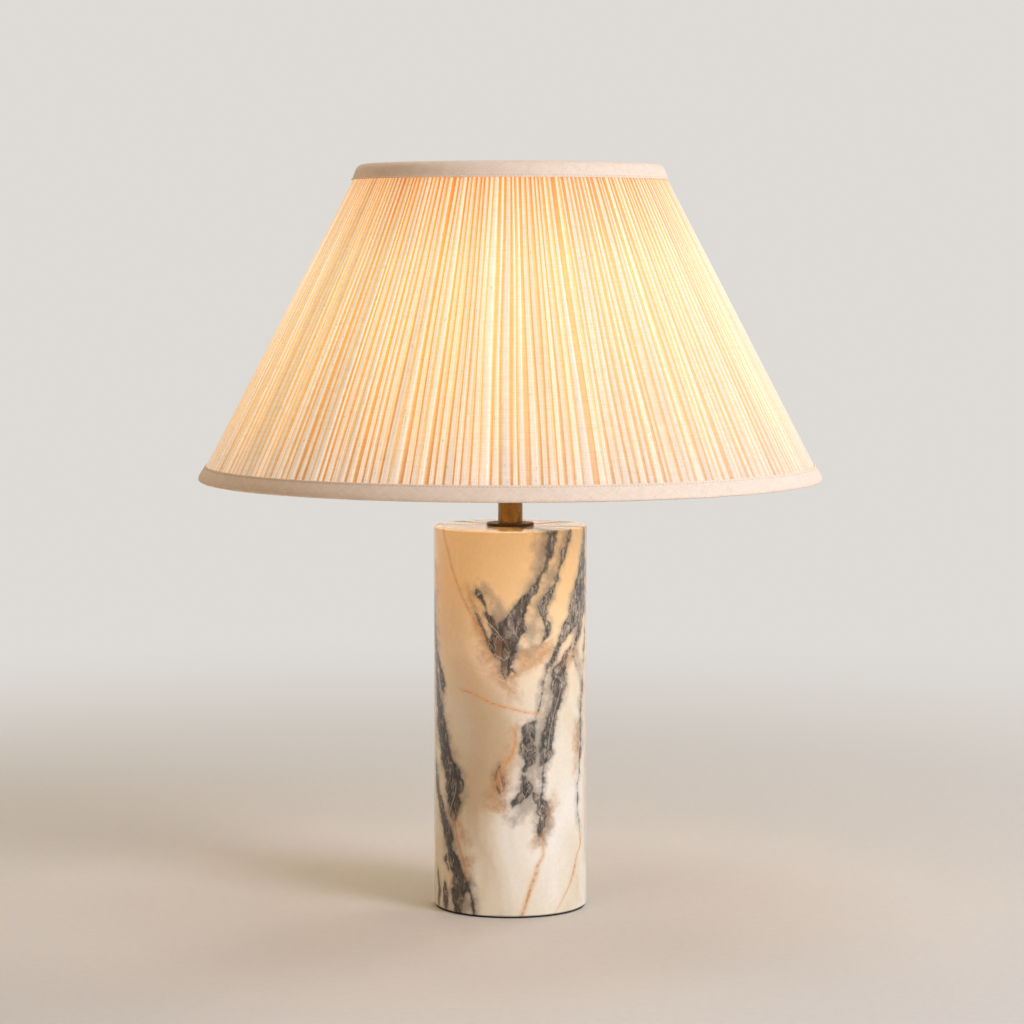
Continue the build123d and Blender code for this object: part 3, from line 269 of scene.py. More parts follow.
# hairlines that run round the column, each a list of (place round the column, height, half width)
calcite_hairlines = [
    [(-36, 166, 0.05), (-22, 160, 0.12), (-9, 157, 0.15), (0, 152, 0.22), (8, 149, 0.24), (17, 148, 0.2),
     (24, 151, 0.1)],
    [(12, 181, 0.1), (22, 177, 0.2), (34, 172, 0.1), (42, 170, 0.15), (50, 168, 0.05)],
    [(-26, 203, 0.1), (-18, 195, 0.3), (-11, 189, 0.35), (-4, 181, 0.2)],
]
rust_hairlines = [
    [(-32, 147, 0.1), (-24, 145, 0.3), (-15, 141, 0.5), (-8, 138.5, 0.6), (-2, 137, 0.4), (8, 134.5, 0.25),
     (18, 132.5, 0.2)],
]


def band_depth(tree, along, across, points, length, reach):
    """How deep a place lies inside a winding band, in millimetres: negative outside it and past its ends."""
    first, last = points[0], points[-1]
    widths = [(a, half) for a, place, half in points]
    if first[0] > fade_past_end:
        widths.insert(0, (first[0] - fade_past_end, first[2] - fade_past_end))
    if last[0] < length - fade_past_end:
        widths.append((last[0] + fade_past_end, last[2] - fade_past_end))
    span = 2 * (fade_past_end + 1)
    curves = []
    for values in ([(a, (place + reach) / (2 * reach)) for a, place, half in points],
                   [(a, half / span + 0.5) for a, half in widths]):
        node = add(tree, "FloatCurve", {"Value": along})
        curve = node.mapping.curves[0]
        spots = [(a / length, value) for a, value in values]
        curve.points[0].location = spots[0]
        curve.points[1].location = spots[-1]
        for spot in spots[1:-1]:
            curve.points.new(*spot)
        for point in curve.points:
            point.handle_type = "AUTO_CLAMPED"
        node.mapping.update()
        curves.append(node)
    route, width = curves
    middle = add(tree, "Math", {0: route, 1: 2 * reach, 2: -reach}, operation="MULTIPLY_ADD")
    away = add(tree, "Math", {0: across, 1: middle}, operation="SUBTRACT")
    distance = add(tree, "Math", {0: away}, operation="ABSOLUTE")
    half = add(tree, "Math", {0: width, 1: span, 2: -span / 2}, operation="MULTIPLY_ADD")
    return add(tree, "Math", {0: half, 1: distance}, operation="SUBTRACT")


def deepest(tree, depths):
    """The greatest of several depths."""
    result = depths[0]
    for depth in depths[1:]:
        result = add(tree, "Math", {0: result, 1: depth}, operation="MAXIMUM")
    return result


def threads(tree, place, size, width):
    """Winding threads where a noise of a size in millimetres crosses its middle: 1 on them, 0 beside them."""
    noise = add(tree, "TexNoise", {"Vector": place, "Scale": 1000 / size, "Detail": 3.0, "Roughness": 0.6})
    centred = add(tree, "Math", {0: noise, 1: -0.5}, operation="ADD")
    away = add(tree, "Math", {0: centred}, operation="ABSOLUTE")
    return add(tree, "MapRange", {"Value": away, "From Min": width * 0.3, "From Max": width, "To Min": 1.0,
                                  "To Max": 0.0})


def polished_marble():
    made, tree, shader = material("polished_marble", "#EAD6B8", Roughness=0.16, IOR=1.5, Coat_Weight=0.3,
                                  Coat_Roughness=0.06)
    # a place on the column: how far round from the front and how high, in millimetres
    place = add(tree, "TexCoord").outputs["Object"]
    apart = add(tree, "SeparateXYZ", {"Vector": place})
    forward = add(tree, "Math", {0: apart.outputs["Y"], 1: -1.0}, operation="MULTIPLY")
    angle = add(tree, "Math", {0: apart.outputs["X"], 1: forward}, operation="ARCTAN2")
    girth = add(tree, "Math", {0: angle, 1: column_radius}, operation="MULTIPLY")
    height = add(tree, "Math", {0: apart.outputs["Z"], 1: 1 / MM}, operation="MULTIPLY")
    # ragged edges: a slow wander and a fine crumble
    wander = add(tree, "TexNoise", {"Vector": place, "Scale": 1000 / 10, "Detail": 3.0})
    crumble = add(tree, "TexNoise", {"Vector": place, "Scale": 1000 / 2.6, "Detail": 4.0, "Roughness": 0.7})
    shift = add(tree, "Math", {0: wander, 1: edge_wander, 2: -(edge_wander + edge_crumble) / 2},
                operation="MULTIPLY_ADD")
    shift = add(tree, "Math", {0: crumble, 1: edge_crumble, 2: shift}, operation="MULTIPLY_ADD")
    across = add(tree, "Math", {0: girth, 1: shift}, operation="ADD")
    fine = add(tree, "Math", {0: crumble, 1: line_crumble, 2: girth}, operation="MULTIPLY_ADD")
    up = add(tree, "Math", {0: height, 1: 1 / column_height}, operation="MULTIPLY")
    rise = add(tree, "Math", {0: crumble, 1: hairline_crumble, 2: height}, operation="MULTIPLY_ADD")
    round_share = add(tree, "Math", {0: fine, 1: 1 / (2 * stone_half_girth), 2: 0.5},
                      operation="MULTIPLY_ADD")

    def union(bands, crossing):
        """How deep a place lies in bands that climb the column."""
        return deepest(tree, [
            band_depth(tree, up, crossing, band, column_height, stone_half_girth) for band in bands
        ])

    def round_union(bands):
        """How deep a place lies in bands that run round the column, measured from its half height."""
        half_height = column_height / 2
        centred = add(tree, "Math", {0: rise, 1: -half_height - hairline_crumble / 2}, operation="ADD")
        shifted = [
            [(aside + stone_half_girth, level - half_height, half) for aside, level, half in band]
            for band in bands
        ]
        return deepest(tree, [
            band_depth(tree, round_share, centred, band, 2 * stone_half_girth, stone_half_girth)
            for band in shifted
        ])

    vein = union(dark_veins, across)
    torn_edge = add(tree, "TexNoise", {"Vector": place, "Scale": 1000 / 9, "Detail": 5.0, "Roughness": 0.65})
    tear = add(tree, "Math", {0: torn_edge, 1: cloud_tear, 2: -cloud_tear / 2}, operation="MULTIPLY_ADD")
    cloud = add(tree, "Math", {0: union(smoke, across), 1: tear}, operation="ADD")
    patch = add(tree, "Math", {0: union(rust_patches, across), 1: tear}, operation="ADD")
    rust = deepest(tree, [union(rust_lines, fine), round_union(rust_hairlines)])
    hair = deepest(tree, [union(calcite_lines, fine), round_union(calcite_hairlines)])

    # ground: cream, clouded, tan in its depths, and the lamp's light painted on as honey towards the top
    beds = add(tree, "Mapping", {"Vector": place, "Scale": (1.0, 1.0, bed_stretch),
                                 "Rotation": (0.0, radians(bed_lean), 0.0)})
    cloudy = add(tree, "TexNoise", {"Vector": beds, "Scale": 1000 / 38, "Detail": 4.0, "Distortion": 0.8})
    ground = ramp_stops(add(tree, "ValToRGB", {"Fac": cloudy}),
                        [(0.3, "#EAD9BA"), (0.5, "#F5EBD4"), (0.66, "#FBF4E4")])
    tan = add(tree, "MapRange", {"Value": union(tan_depths, across), "From Min": -14.0, "From Max": 16.0,
                                 "To Max": 0.85}, interpolation_type="SMOOTHSTEP")
    # painted lamplight: the column's ground turns honey towards its top, as if lit from the shade above
    painted_lamplight = add(tree, "Math", {0: cloudy, 1: 46.0, 2: height}, operation="MULTIPLY_ADD")
    painted_lamplight = add(tree, "MapRange", {"Value": painted_lamplight, "From Min": 146.0, "From Max": 240.0, "To Max": 0.9},
                interpolation_type="SMOOTHSTEP")
    ground = layered(tree, ground, (tan, "#C8AA80"), (painted_lamplight, "#FFD492"))
    grain = add(tree, "TexNoise", {"Vector": place, "Scale": 1000 / 2.5, "Detail": 3.0})
    grained = add(tree, "MapRange", {"Value": grain, "To Min": 0.93, "To Max": 1.07})
    colour = add(tree, "Mix", {"Factor": 1.0, "A": ground, "B": grained}, data_type="RGBA",
                 blend_type="MULTIPLY")
    freckle = add(tree, "MapRange", {"Value": crumble, "From Min": 0.64, "From Max": 0.72, "To Max": 0.22})

    # iron stain and smoke
    uneven = add(tree, "MapRange", {"Value": crumble, "From Min": 0.3, "From Max": 0.6, "To Min": 0.55,
                                    "To Max": 1.0})
    stain = add(tree, "MapRange", {"Value": patch, "From Min": -6.0, "From Max": 6.0, "To Max": 0.8},
                interpolation_type="SMOOTHSTEP")
    stain = add(tree, "Math", {0: stain, 1: uneven}, operation="MULTIPLY")
    smoky = add(tree, "MapRange", {"Value": cloud, "From Min": -7.0, "From Max": 6.0, "To Max": 0.72},
                interpolation_type="SMOOTHSTEP")

    # the veins' torn bodies, wider to the left, where their darkening is painted shade on the column's left
    # side, and a grey bruise round them
    patchy = add(tree, "TexNoise", {"Vector": place, "Scale": 1000 / 9, "Detail": 3.0, "Roughness": 0.6})
    thin = add(tree, "MapRange", {"Value": patchy, "From Min": 0.3, "From Max": 0.62, "To Min": -2.0,
                                  "To Max": 0.9})
    spread_and_shade_left = add(tree, "MapRange", {"Value": girth, "From Min": -52.0, "From Max": 45.0, "To Min": -0.19,
                                    "To Max": 0.05})
    torn = add(tree, "Math", {0: spread_and_shade_left, 1: -5.0, 2: thin}, operation="MULTIPLY_ADD")
    torn = add(tree, "Math", {0: vein, 1: torn}, operation="ADD")
    bruise = add(tree, "MapRange", {"Value": torn, "From Min": -5.0, "From Max": 1.0, "To Max": 0.4},
                 interpolation_type="SMOOTHSTEP")
    body = add(tree, "MapRange", {"Value": torn, "From Min": -1.2, "From Max": 1.2, "To Max": 0.94},
               interpolation_type="SMOOTHSTEP")

    # inside them: crushed cells of grey stone, each its own tone, with dark threads between and dark rims
    streak = add(tree, "TexNoise", {"Vector": beds, "Scale": 1000 / 3.6, "Detail": 5.0, "Roughness": 0.66,
                                    "Distortion": 0.8})
    wobble = add(tree, "TexNoise", {"Vector": place, "Scale": 1000 / 5, "Detail": 2.0})
    wobble = add(tree, "VectorMath", {0: wobble.outputs["Color"], "Scale": 3.0 * MM}, operation="SCALE")
    bent = add(tree, "VectorMath", {0: beds, 1: wobble}, operation="ADD")
    cell = add(tree, "TexVoronoi", {"Vector": bent, "Scale": 1000 / cell_size})
    gap = add(tree, "TexVoronoi", {"Vector": bent, "Scale": 1000 / cell_size}, feature="DISTANCE_TO_EDGE")
    tone = add(tree, "Math", {0: patchy, 1: 0.45, 2: streak}, operation="MULTIPLY_ADD")
    tone = add(tree, "Math", {0: cell.outputs["Color"], 1: 0.16, 2: tone}, operation="MULTIPLY_ADD")
    # painted shade: the crushed stone inside the veins darkens towards the column's left side
    tone = add(tree, "Math", {0: tone, 1: spread_and_shade_left}, operation="ADD")
    inside = ramp_stops(
        add(tree, "ValToRGB", {"Fac": tone}),
        [(0.52, "#1E1712"), (0.66, "#463B32"), (0.79, "#706558"), (0.92, "#998C7C"), (1.0, "#BBAF9F")])
    rusted = add(tree, "Math", {0: stain, 1: 0.8}, operation="MULTIPLY")
    threaded = add(tree, "Math", {0: threads(tree, beds, 8.0, 0.045), 1: 0.85}, operation="MULTIPLY")
    rim = add(tree, "MapRange", {"Value": torn, "From Min": 0.2, "From Max": 2.2, "To Min": 0.95,
                                 "To Max": 0.0}, interpolation_type="SMOOTHSTEP")
    broken = add(tree, "MapRange", {"Value": crumble, "From Min": 0.56, "From Max": 0.48})
    rim = add(tree, "Math", {0: rim, 1: broken}, operation="MULTIPLY")
    inside = layered(tree, inside, (rusted, "#8A5E34"), (threaded, "#201A17"), (rim, "#1A1513"))

    # rust lines glow a little wider than they are
    glow = add(tree, "MapRange", {"Value": rust, "From Min": -2.6, "From Max": 0.4, "To Max": 0.45},
               interpolation_type="SMOOTHSTEP")
    core = add(tree, "MapRange", {"Value": rust, "From Min": -0.5, "From Max": 0.4})
    speckled = add(tree, "MapRange", {"Value": grain, "From Min": 0.4, "From Max": 0.6, "To Min": 0.15,
                                      "To Max": 0.8})
    core = add(tree, "Math", {0: core, 1: speckled}, operation="MULTIPLY")

    # calcite hairlines, and pale cracks between the crushed cells
    cracks = add(tree, "MapRange", {"Value": gap, "From Min": 0.01, "From Max": 0.06, "To Min": 0.34,
                                    "To Max": 0.0})
    healed = add(tree, "MapRange", {"Value": torn_edge, "From Min": 0.44, "From Max": 0.58})
    for share in (healed, body):
        cracks = add(tree, "Math", {0: cracks, 1: share}, operation="MULTIPLY")
    white = add(tree, "MapRange", {"Value": hair, "From Min": -0.35, "From Max": 0.2, "To Max": 0.45})
    white = deepest(tree, [white, cracks])

    colour = layered(
        tree, colour, (freckle, "#D49A5C"), (stain, "#C78F55"), (smoky, "#9C8A76"), (bruise, "#7C7164"),
        (body, inside), (glow, "#E8B078"), (core, "#D28E4C"), (white, "#F6E2C4"))
    dull = add(tree, "MapRange", {"Value": torn, "From Min": -1.0, "From Max": 2.0, "To Min": 0.14,
                                  "To Max": 0.24})
    feed(tree, shader, Base_Color=colour, Roughness=dull)
    return made


# ------------------------ cloth
weave_pitch = 1.2        # real threads lie 0.5 mm apart; drawn coarser, so that they show
slub_width = 1.1


def weave(tree, run):
    """Plain linen weave on a UV map in metres: (thread height, slub tone)."""
    threads_both_ways = []
    slubs_both_ways = []
    for direction, drawn_out in (("X", (1.0, 9.0, 1.0)), ("Y", (14.0, 1.0, 1.0))):
        # a wave texture of scale 1 has a band every 2 pi / 20
        threads_both_ways.append(
            add(tree, "TexWave", {"Vector": run, "Scale": 2 * pi / 20 / (weave_pitch * MM), "Distortion": 1.2,
                                  "Detail": 2.0, "Detail Scale": 1.5}, bands_direction=direction))
        stretched = add(tree, "Mapping", {"Vector": run, "Scale": tuple(1 / s for s in drawn_out)})
        slubs_both_ways.append(
            add(tree, "TexNoise", {"Vector": stretched, "Scale": 1000 / slub_width, "Detail": 2.0}))
    return [
        add(tree, "Math", {0: one, 1: other}, operation="ADD")
        for one, other in (threads_both_ways, slubs_both_ways)
    ]


# How the lit linen glows at shares of its height: in a slit between folds, through a single layer, on a
# crest of several layers, and along a fold's turned edge, where light comes through one layer sideways.
linen_glow = [
    (0.0, "#92511A", "#AE825D", "#BCA48E", "#CCBAA6"),
    (0.08, "#B26C20", "#C0925D", "#C5AC93", "#D6C4B2"),
    (0.2, "#D48430", "#D09E58", "#D1B390", "#DCCBB4"),
    (0.46, "#E59A38", "#DFAF5E", "#DBBD9B", "#E5DACC"),
    (0.7, "#E6A240", "#E2B76C", "#DCC09F", "#E7DCCF"),
    (0.9, "#E0760E", "#DA9A44", "#D9B692", "#E8D6BC"),
    (1.0, "#D8660A", "#D0863A", "#D2A87E", "#E0C29C"),
]


# Natural linen, woven, gathered by hand over a stiff lining and lit from behind: the crests, layers thick,
# stay cream, a single layer lets the lamp through as yellow, and the slits between folds glow orange.
def lit_linen():
    made, tree, shader = material("gathered_linen", "#BCB3A6", Roughness=0.85, Sheen_Weight=0.1,
                                  Emission_Strength=1.0)
    apart = add(tree, "SeparateXYZ", {"Vector": add(tree, "TexCoord").outputs["Object"]})
    rise = add(tree, "MapRange", {"Value": apart.outputs["Z"], "From Min": shade_bottom * MM,
                                  "From Max": shade_top * MM})
    run = add(tree, "UVMap", uv_map="cloth")
    fold, layer, edge = [
        add(tree, "Attribute", attribute_name=name).outputs["Fac"] for name in ("fold", "layer", "edge")
    ]
    thread, slub = weave(tree, run)
    slit, single, crest, turned = [
        ramp_stops(add(tree, "ValToRGB", {"Fac": rise}), [(row[0], row[column]) for row in linen_glow])
        for column in (1, 2, 3, 4)
    ]
    opened = add(tree, "MapRange", {"Value": fold, "From Min": 0.02, "From Max": 0.4},
                 interpolation_type="SMOOTHSTEP")
    raised = add(tree, "MapRange", {"Value": fold, "From Min": 0.5, "From Max": 0.92},
                 interpolation_type="SMOOTHSTEP")
    glow = layered(tree, slit, (opened, single), (raised, crest), (edge, turned))
    # gathers differ in thickness, and slubs and flecks stop a little light
    varied = add(tree, "MapRange", {"Value": layer, "From Min": -1.0, "From Max": 1.0, "To Min": 0.86,
                                    "To Max": 1.1})
    slubs = add(tree, "MapRange", {"Value": slub, "From Min": 0.7, "From Max": 1.3, "To Min": 1.07,
                                   "To Max": 0.92})
    along = add(tree, "Mapping", {"Vector": run, "Scale": (1.0, 0.2, 1.0)})
    fleck = add(tree, "TexNoise", {"Vector": along, "Scale": 1000 / 0.9, "Detail": 1.0})
    fleck = add(tree, "MapRange", {"Value": fleck, "From Min": 0.66, "From Max": 0.74, "To Min": 1.0,
                                   "To Max": 0.6})
    for share in (slubs, fleck):
        varied = add(tree, "Math", {0: varied, 1: share}, operation="MULTIPLY")
    glow = add(tree, "Mix", {"Factor": 1.0, "A": glow, "B": varied}, data_type="RGBA", blend_type="MULTIPLY")
    # the cloth's colour, with the lamp's orange glow and shade painted into the slits, darker and warmer
    # towards the top
    slit_cloth_painted_glow = ramp_stops(add(tree, "ValToRGB", {"Fac": rise}),
                            [(0.0, "#BCAC94"), (0.6, "#BCA684"), (1.0, "#B08450")])
    base = add(tree, "Mix", {"Factor": raised, "A": slit_cloth_painted_glow, "B": linear("#B2A99E")}, data_type="RGBA")
    base = add(tree, "Mix", {"Factor": 1.0, "A": base, "B": slubs}, data_type="RGBA", blend_type="MULTIPLY")
    bump = add(tree, "Bump", {"Height": thread, "Strength": 0.4, "Distance": 0.2 * MM})
    feed(tree, shader, Base_Color=base, Emission_Color=glow, Normal=bump)
    return made


stitch_pitch = 2.4
stitch_stand = 0.8       # the tape's face stands about this far off the cloth at its stitches


def stitches(tree, run):
    """The running stitch by each tape's lip: 1 on a thread, 0 beside it. A tape's V is height less radius."""
    apart = add(tree, "SeparateXYZ", {"Vector": run})
    lines = []
    for level in (shade_bottom + tape_height - stitch_inset, shade_top - tape_height + stitch_inset):
        line = (level - cloth_radius(level) - stitch_stand) * MM
        away = add(tree, "Math", {0: apart.outputs["Y"], 1: -line}, operation="ADD")
        away = add(tree, "Math", {0: away}, operation="ABSOLUTE")
        lines.append(add(tree, "MapRange", {"Value": away, "From Min": 0.2 * MM, "From Max": 0.5 * MM,
                                            "To Min": 1.0, "To Max": 0.0}))
    turn = add(tree, "Math", {0: apart.outputs["X"], 1: 1 / (stitch_pitch * MM)}, operation="MULTIPLY")
    turn = add(tree, "Math", {0: turn}, operation="FRACT")
    dash = add(tree, "MapRange", {"Value": turn, "From Min": 0.5, "From Max": 0.62, "To Min": 1.0,
                                  "To Max": 0.0})
    return add(tree, "Math", {0: deepest(tree, lines), 1: dash}, operation="MULTIPLY")


# The same linen cut as a bias tape, glued over the rims and stitched along its lip: opaque, so it keeps the
# cloth's own pale oatmeal colour.
def linen_tape():
    made, tree, shader = material("linen_tape", "#F7E3CC", Roughness=0.88, Sheen_Weight=0.1)
    run = add(tree, "UVMap", uv_map="cloth")
    turned = add(tree, "Mapping", {"Vector": run, "Rotation": (0.0, 0.0, radians(38))})
    thread, slub = weave(tree, turned)
    handled = add(tree, "TexNoise", {"Vector": run, "Scale": 1000 / 5, "Detail": 4.0, "Roughness": 0.6})
    worn = add(tree, "Math", {0: handled, 1: 1.2, 2: slub}, operation="MULTIPLY_ADD")
    tone = add(tree, "MapRange", {"Value": worn, "From Min": 1.2, "From Max": 2.0, "To Min": 0.9,
                                  "To Max": 1.06})
    base = add(tree, "Mix", {"Factor": 1.0, "A": linear("#F7E3CC"), "B": tone}, data_type="RGBA",
               blend_type="MULTIPLY")
    sewn = add(tree, "Math", {0: stitches(tree, run), 1: 0.45}, operation="MULTIPLY")
    base = add(tree, "Mix", {"Factor": sewn, "A": base, "B": linear("#B89878")}, data_type="RGBA")
    bump = add(tree, "Bump", {"Height": thread, "Strength": 0.35, "Distance": 0.2 * MM})
    feed(tree, shader, Base_Color=base, Normal=bump)
    return made


# ------------------------ metal, plastic, glass
def mottled(name, colour, second, patch, grain=0.0, **sockets):
    """A finish whose colour and gloss drift in patches of a size in millimetres, with a fine grain."""
    made, tree, shader = material(name, colour, **sockets)
    place = add(tree, "TexCoord").outputs["Object"]
    drift = add(tree, "TexNoise", {"Vector": place, "Scale": 1000 / patch, "Detail": 4.0, "Roughness": 0.6})
    share = add(tree, "MapRange", {"Value": drift, "From Min": 0.38, "From Max": 0.66},
                interpolation_type="SMOOTHSTEP")
    mixed = add(tree, "Mix", {"Factor": share, "A": linear(colour), "B": linear(second)}, data_type="RGBA")
    rough = shader.inputs["Roughness"].default_value
    worn = add(tree, "MapRange", {"Value": drift, "From Min": 0.3, "From Max": 0.7, "To Min": rough * 0.8,
                                  "To Max": min(1.0, rough * 1.3)})
    feed(tree, shader, Base_Color=mixed, Roughness=worn)
    if grain:
        texture = add(tree, "TexNoise", {"Vector": place, "Scale": 1000 / grain, "Detail": 2.0})
        bump = add(tree, "Bump", {"Height": texture, "Strength": 0.3, "Distance": 0.1 * MM})
        feed(tree, shader, Normal=bump)
    return made


# Opal glass, blown and coated inside, lit: a warm white that hides its filaments and dies away down the neck.
def lit_opal():
    made, tree, shader = material("opal_glass", "#FBF6EC", Roughness=0.18, Emission_Strength=22.0)
    place = add(tree, "TexCoord").outputs["Object"]
    cloud = add(tree, "TexNoise", {"Vector": place, "Scale": 1000 / 25, "Detail": 2.0})
    warm = add(tree, "Mix", {"Factor": cloud, "A": linear("#FFD9A0"), "B": linear("#FFE2B4")},
               data_type="RGBA")
    low, high = [corner[2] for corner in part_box("bulb_glass")]
    full_glow = low + 0.55 * (high - low)
    apart = add(tree, "SeparateXYZ", {"Vector": place})
    risen = add(tree, "MapRange", {"Value": apart.outputs["Z"], "From Min": low, "From Max": full_glow})
    lit = ramp_stops(add(tree, "ValToRGB", {"Fac": risen}),
                     [(0.0, "#2A241E"), (0.45, "#3E362C"), (1.0, "#FFFFFF")])
    warm = add(tree, "Mix", {"Factor": 1.0, "A": warm, "B": lit}, data_type="RGBA", blend_type="MULTIPLY")
    feed(tree, shader, Emission_Color=warm)
    return made


# Yellow phosphor in silicone, moulded over the filaments' chips: warm dots of light behind the opal glass.
def lit_phosphor():
    made, tree, shader = material("yellow_phosphor", "#F2C94A", Roughness=0.6, Emission_Strength=4.0)
    place = add(tree, "TexCoord").outputs["Object"]
    dots = add(tree, "TexVoronoi", {"Vector": place, "Scale": 1000 / 1.5})
    warm = add(tree, "Mix", {"Factor": dots, "A": linear("#FFD27A"), "B": linear("#FFB84A")},
               data_type="RGBA")
    feed(tree, shader, Emission_Color=warm)
    return made


finishes = {
    "marble": polished_marble(),
    # foam with closed cells, die cut: near black, dull and finely pitted
    "pad": mottled("closed_cell_foam", "#1B1A19", "#262422", 3, grain=0.8, Roughness=0.9),
    # steel, pressed and zinc plated: cool grey, with a soft metallic gloss
    "zinc_steel": mottled(
        "zinc_plated_steel", "#B9B9B4", "#9FA3A6", 6, grain=0.6, Roughness=0.38, Metallic=1.0),
    # brass tube, drawn and aged: brown gold, a little darker in patches
    "antique_brass": mottled(
        "antique_brass", "#94652F", "#7F5828", 9, grain=0.5, Roughness=0.3, Metallic=1.0),
    # bronze, turned and patinated: a brown near black, with a low gloss
    "dark_bronze": mottled(
        "patinated_bronze", "#3A2A1B", "#4A3420", 7, grain=0.5, Roughness=0.34, Metallic=1.0),
    # brass, turned and left bare: yellow and bright
    "plain_brass": mottled("turned_brass", "#D9B36A", "#CFA75C", 8, grain=0.5, Roughness=0.28, Metallic=1.0),
    # nylon and polyamide, moulded: milky and satin
    "nylon": mottled("moulded_nylon", "#E8E4D8", "#DAD4C4", 8, grain=0.7, Roughness=0.5),
    "block_plastic": mottled("moulded_polyamide", "#DDDCD6", "#CFCDC4", 6, grain=0.7, Roughness=0.5),
    # phenolic, moulded under heat: a deep hard brown
    "phenolic": mottled("moulded_phenolic", "#2A1C14", "#3A281C", 5, grain=0.6, Roughness=0.35),
    # porcelain, pressed and glazed: white, smooth and glossy
    "porcelain": mottled("glazed_porcelain", "#F2EFE8", "#E8E3D8", 10, Roughness=0.12),
    # soft pvc, extruded over copper: smooth with a dull shine; the earth's two colours meet in patches
    "brown_sleeving": mottled("brown_pvc", "#5A3420", "#4A2A1A", 4, Roughness=0.45),
    "blue_sleeving": mottled("blue_pvc", "#2D5FA6", "#264F8C", 4, Roughness=0.45),
    "green_yellow_sleeving": mottled("green_yellow_pvc", "#3E8C3A", "#D8C22E", 6, Roughness=0.45),
    # glass, drawn to a stem: clear and bright
    "clear_glass": mottled(
        "drawn_glass", "#F4F6F4", "#ECEFEC", 6, Roughness=0.05, Transmission_Weight=0.9, IOR=1.5),
    # aluminium, spun and rolled to a thread: pale grey
    "cap_metal": mottled("spun_aluminium", "#C9CACB", "#B4B6B8", 4, grain=0.5, Roughness=0.3, Metallic=1.0),
    # black glass, fused into the cap: glossy
    "black_glass": mottled("fused_black_glass", "#121214", "#1C1C20", 3, Roughness=0.12),
    # steel wire, coated with epoxy powder: ivory, half glossy and faintly pebbled
    "frame_enamel": mottled("epoxy_coated_wire", "#E9E4DA", "#DDD6C8", 5, grain=0.8, Roughness=0.42),
    # film laminated to a fine cloth: ivory, smooth and nearly even
    "lining_film": mottled("laminated_lining", "#F3EDE2", "#F0E9DD", 40, grain=0.7, Roughness=0.55),
    "opal_glass": lit_opal(),
    "phosphor": lit_phosphor(),
    "linen": lit_linen(),
    "linen_tape": linen_tape(),
}

for subpart in frame["record"]["subparts"]:
    part_mesh = frame["nodes"][subpart["node"]].data
    part_mesh.materials.clear()
    part_mesh.materials.append(finishes[subpart["material_slot"]])


# ------------------------ making pieces
weld_distance = 0.01 * MM


def piece(name, bm, slot, body, *nodes):
    """Turns a bmesh into a piece that rides on a body, stands for its CAD nodes and takes its finish."""
    mesh = bpy.data.meshes.new(name)
    bm.to_mesh(mesh)
    bm.free()
    for polygon in mesh.polygons:
        polygon.use_smooth = True
    made = bpy.data.objects.new(name, mesh)
    bpy.context.scene.collection.objects.link(made)
    mesh.materials.append(finishes[slot])
    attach(made, body)
    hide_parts(*nodes)
    return made


def thicken(made, thickness):
    """Gives a piece of cloth its thickness, inwards from its outer face."""
    wall = made.modifiers.new("thickness", "SOLIDIFY")
    wall.thickness = thickness * MM
    wall.offset = -1.0


def chance(seed):
    """A steady number from 0 to 1 for a seed."""
    value = sin(seed * 12.9898 + 4.1414) * 43758.5453
    return value - int(value // 1)


# ------------------------ gathered linen
fold_gap = 0.03              # parts a fold from the next, in the measure of its points' widths
turned_back = 0.45           # share of the folds that lie the other way
gather_sway = 0.05           # how far a gather strays sideways, as a share of its width


def gathers():
    """Each gather round the shade: (start angle, angle that it takes, its number)."""
    widths = [
        1 + pleat_unevenness * (0.6 * sin(2.31 * gather + 0.4) + 0.4 * sin(5.17 * gather + 1.9))
        for gather in range(pleat_count)
    ]
    whole = sum(widths)
    start = 0.0
    for gather, width in enumerate(widths):
        yield start, width / whole * 2 * pi, gather
        start += width / whole * 2 * pi


def fold_profile(number, rise):
    """Points across a fold at a share of the slant: (share of its width, height of the fold, turned edge)."""
    foot = exp(-rise * 11)
    head = exp(-(1 - rise) * 14)

    def slow(seed, low, high):
        """A size of this fold that drifts between two values up the cloth."""
        turns = chance(number + seed) + rise * (0.3 + 0.5 * chance(number + seed + 0.37))
        return low + (high - low) * (0.5 + 0.5 * sin(2 * pi * turns))

    slit = slow(0.11, 0.16, 0.34) * (1 - 0.4 * foot + 0.2 * head)
    crest = slow(0.23, 0.26, 0.60)
    step = slow(0.31, 0.06, 0.36) * (1 - 0.6 * foot)
    level = slow(0.43, 0.34, 0.66)
    level += (0.9 - level) * foot
    top = slow(0.61, 0.86, 1.0)
    dip = slow(0.53, 0.02, 0.14)
    lip = slow(0.91, 0.1, 1.0)
    sharp = slow(0.77, 0.3, 1.0)
    # each point is (width since the last, height, turned edge): slit, near edge, crest, far edge, low step
    points = [
        (0.0, 0.05, 0.0), (slit * 0.5, 0.0, 0.0), (slit * 0.5, 0.10, 0.0), (0.07, 0.52, 0.0),
        (0.06, top - 0.04, sharp), (0.05, top, 0.4 * sharp), (crest * 0.4, top - dip, 0.0),
        (crest * 0.4, top - 0.5 * dip, 0.0), (0.05, top - 0.08, lip), (0.07, level + 0.04, 0.1 * lip),
        (step * 0.5, level, 0.0), (step * 0.5, level - 0.06, 0.0), (0.07, 0.24, 0.0),
    ]
    whole = sum(point[0] for point in points) + fold_gap
    if chance(number + 0.97) < turned_back:
        steps = [0.0, fold_gap] + [point[0] for point in points[:0:-1]]
        points = [(width, height, edge) for width, (_, height, edge) in zip(steps, points[::-1])]
    place = 0.0
    for width, height, edge in points:
        place += width / whole
        yield place, height, edge


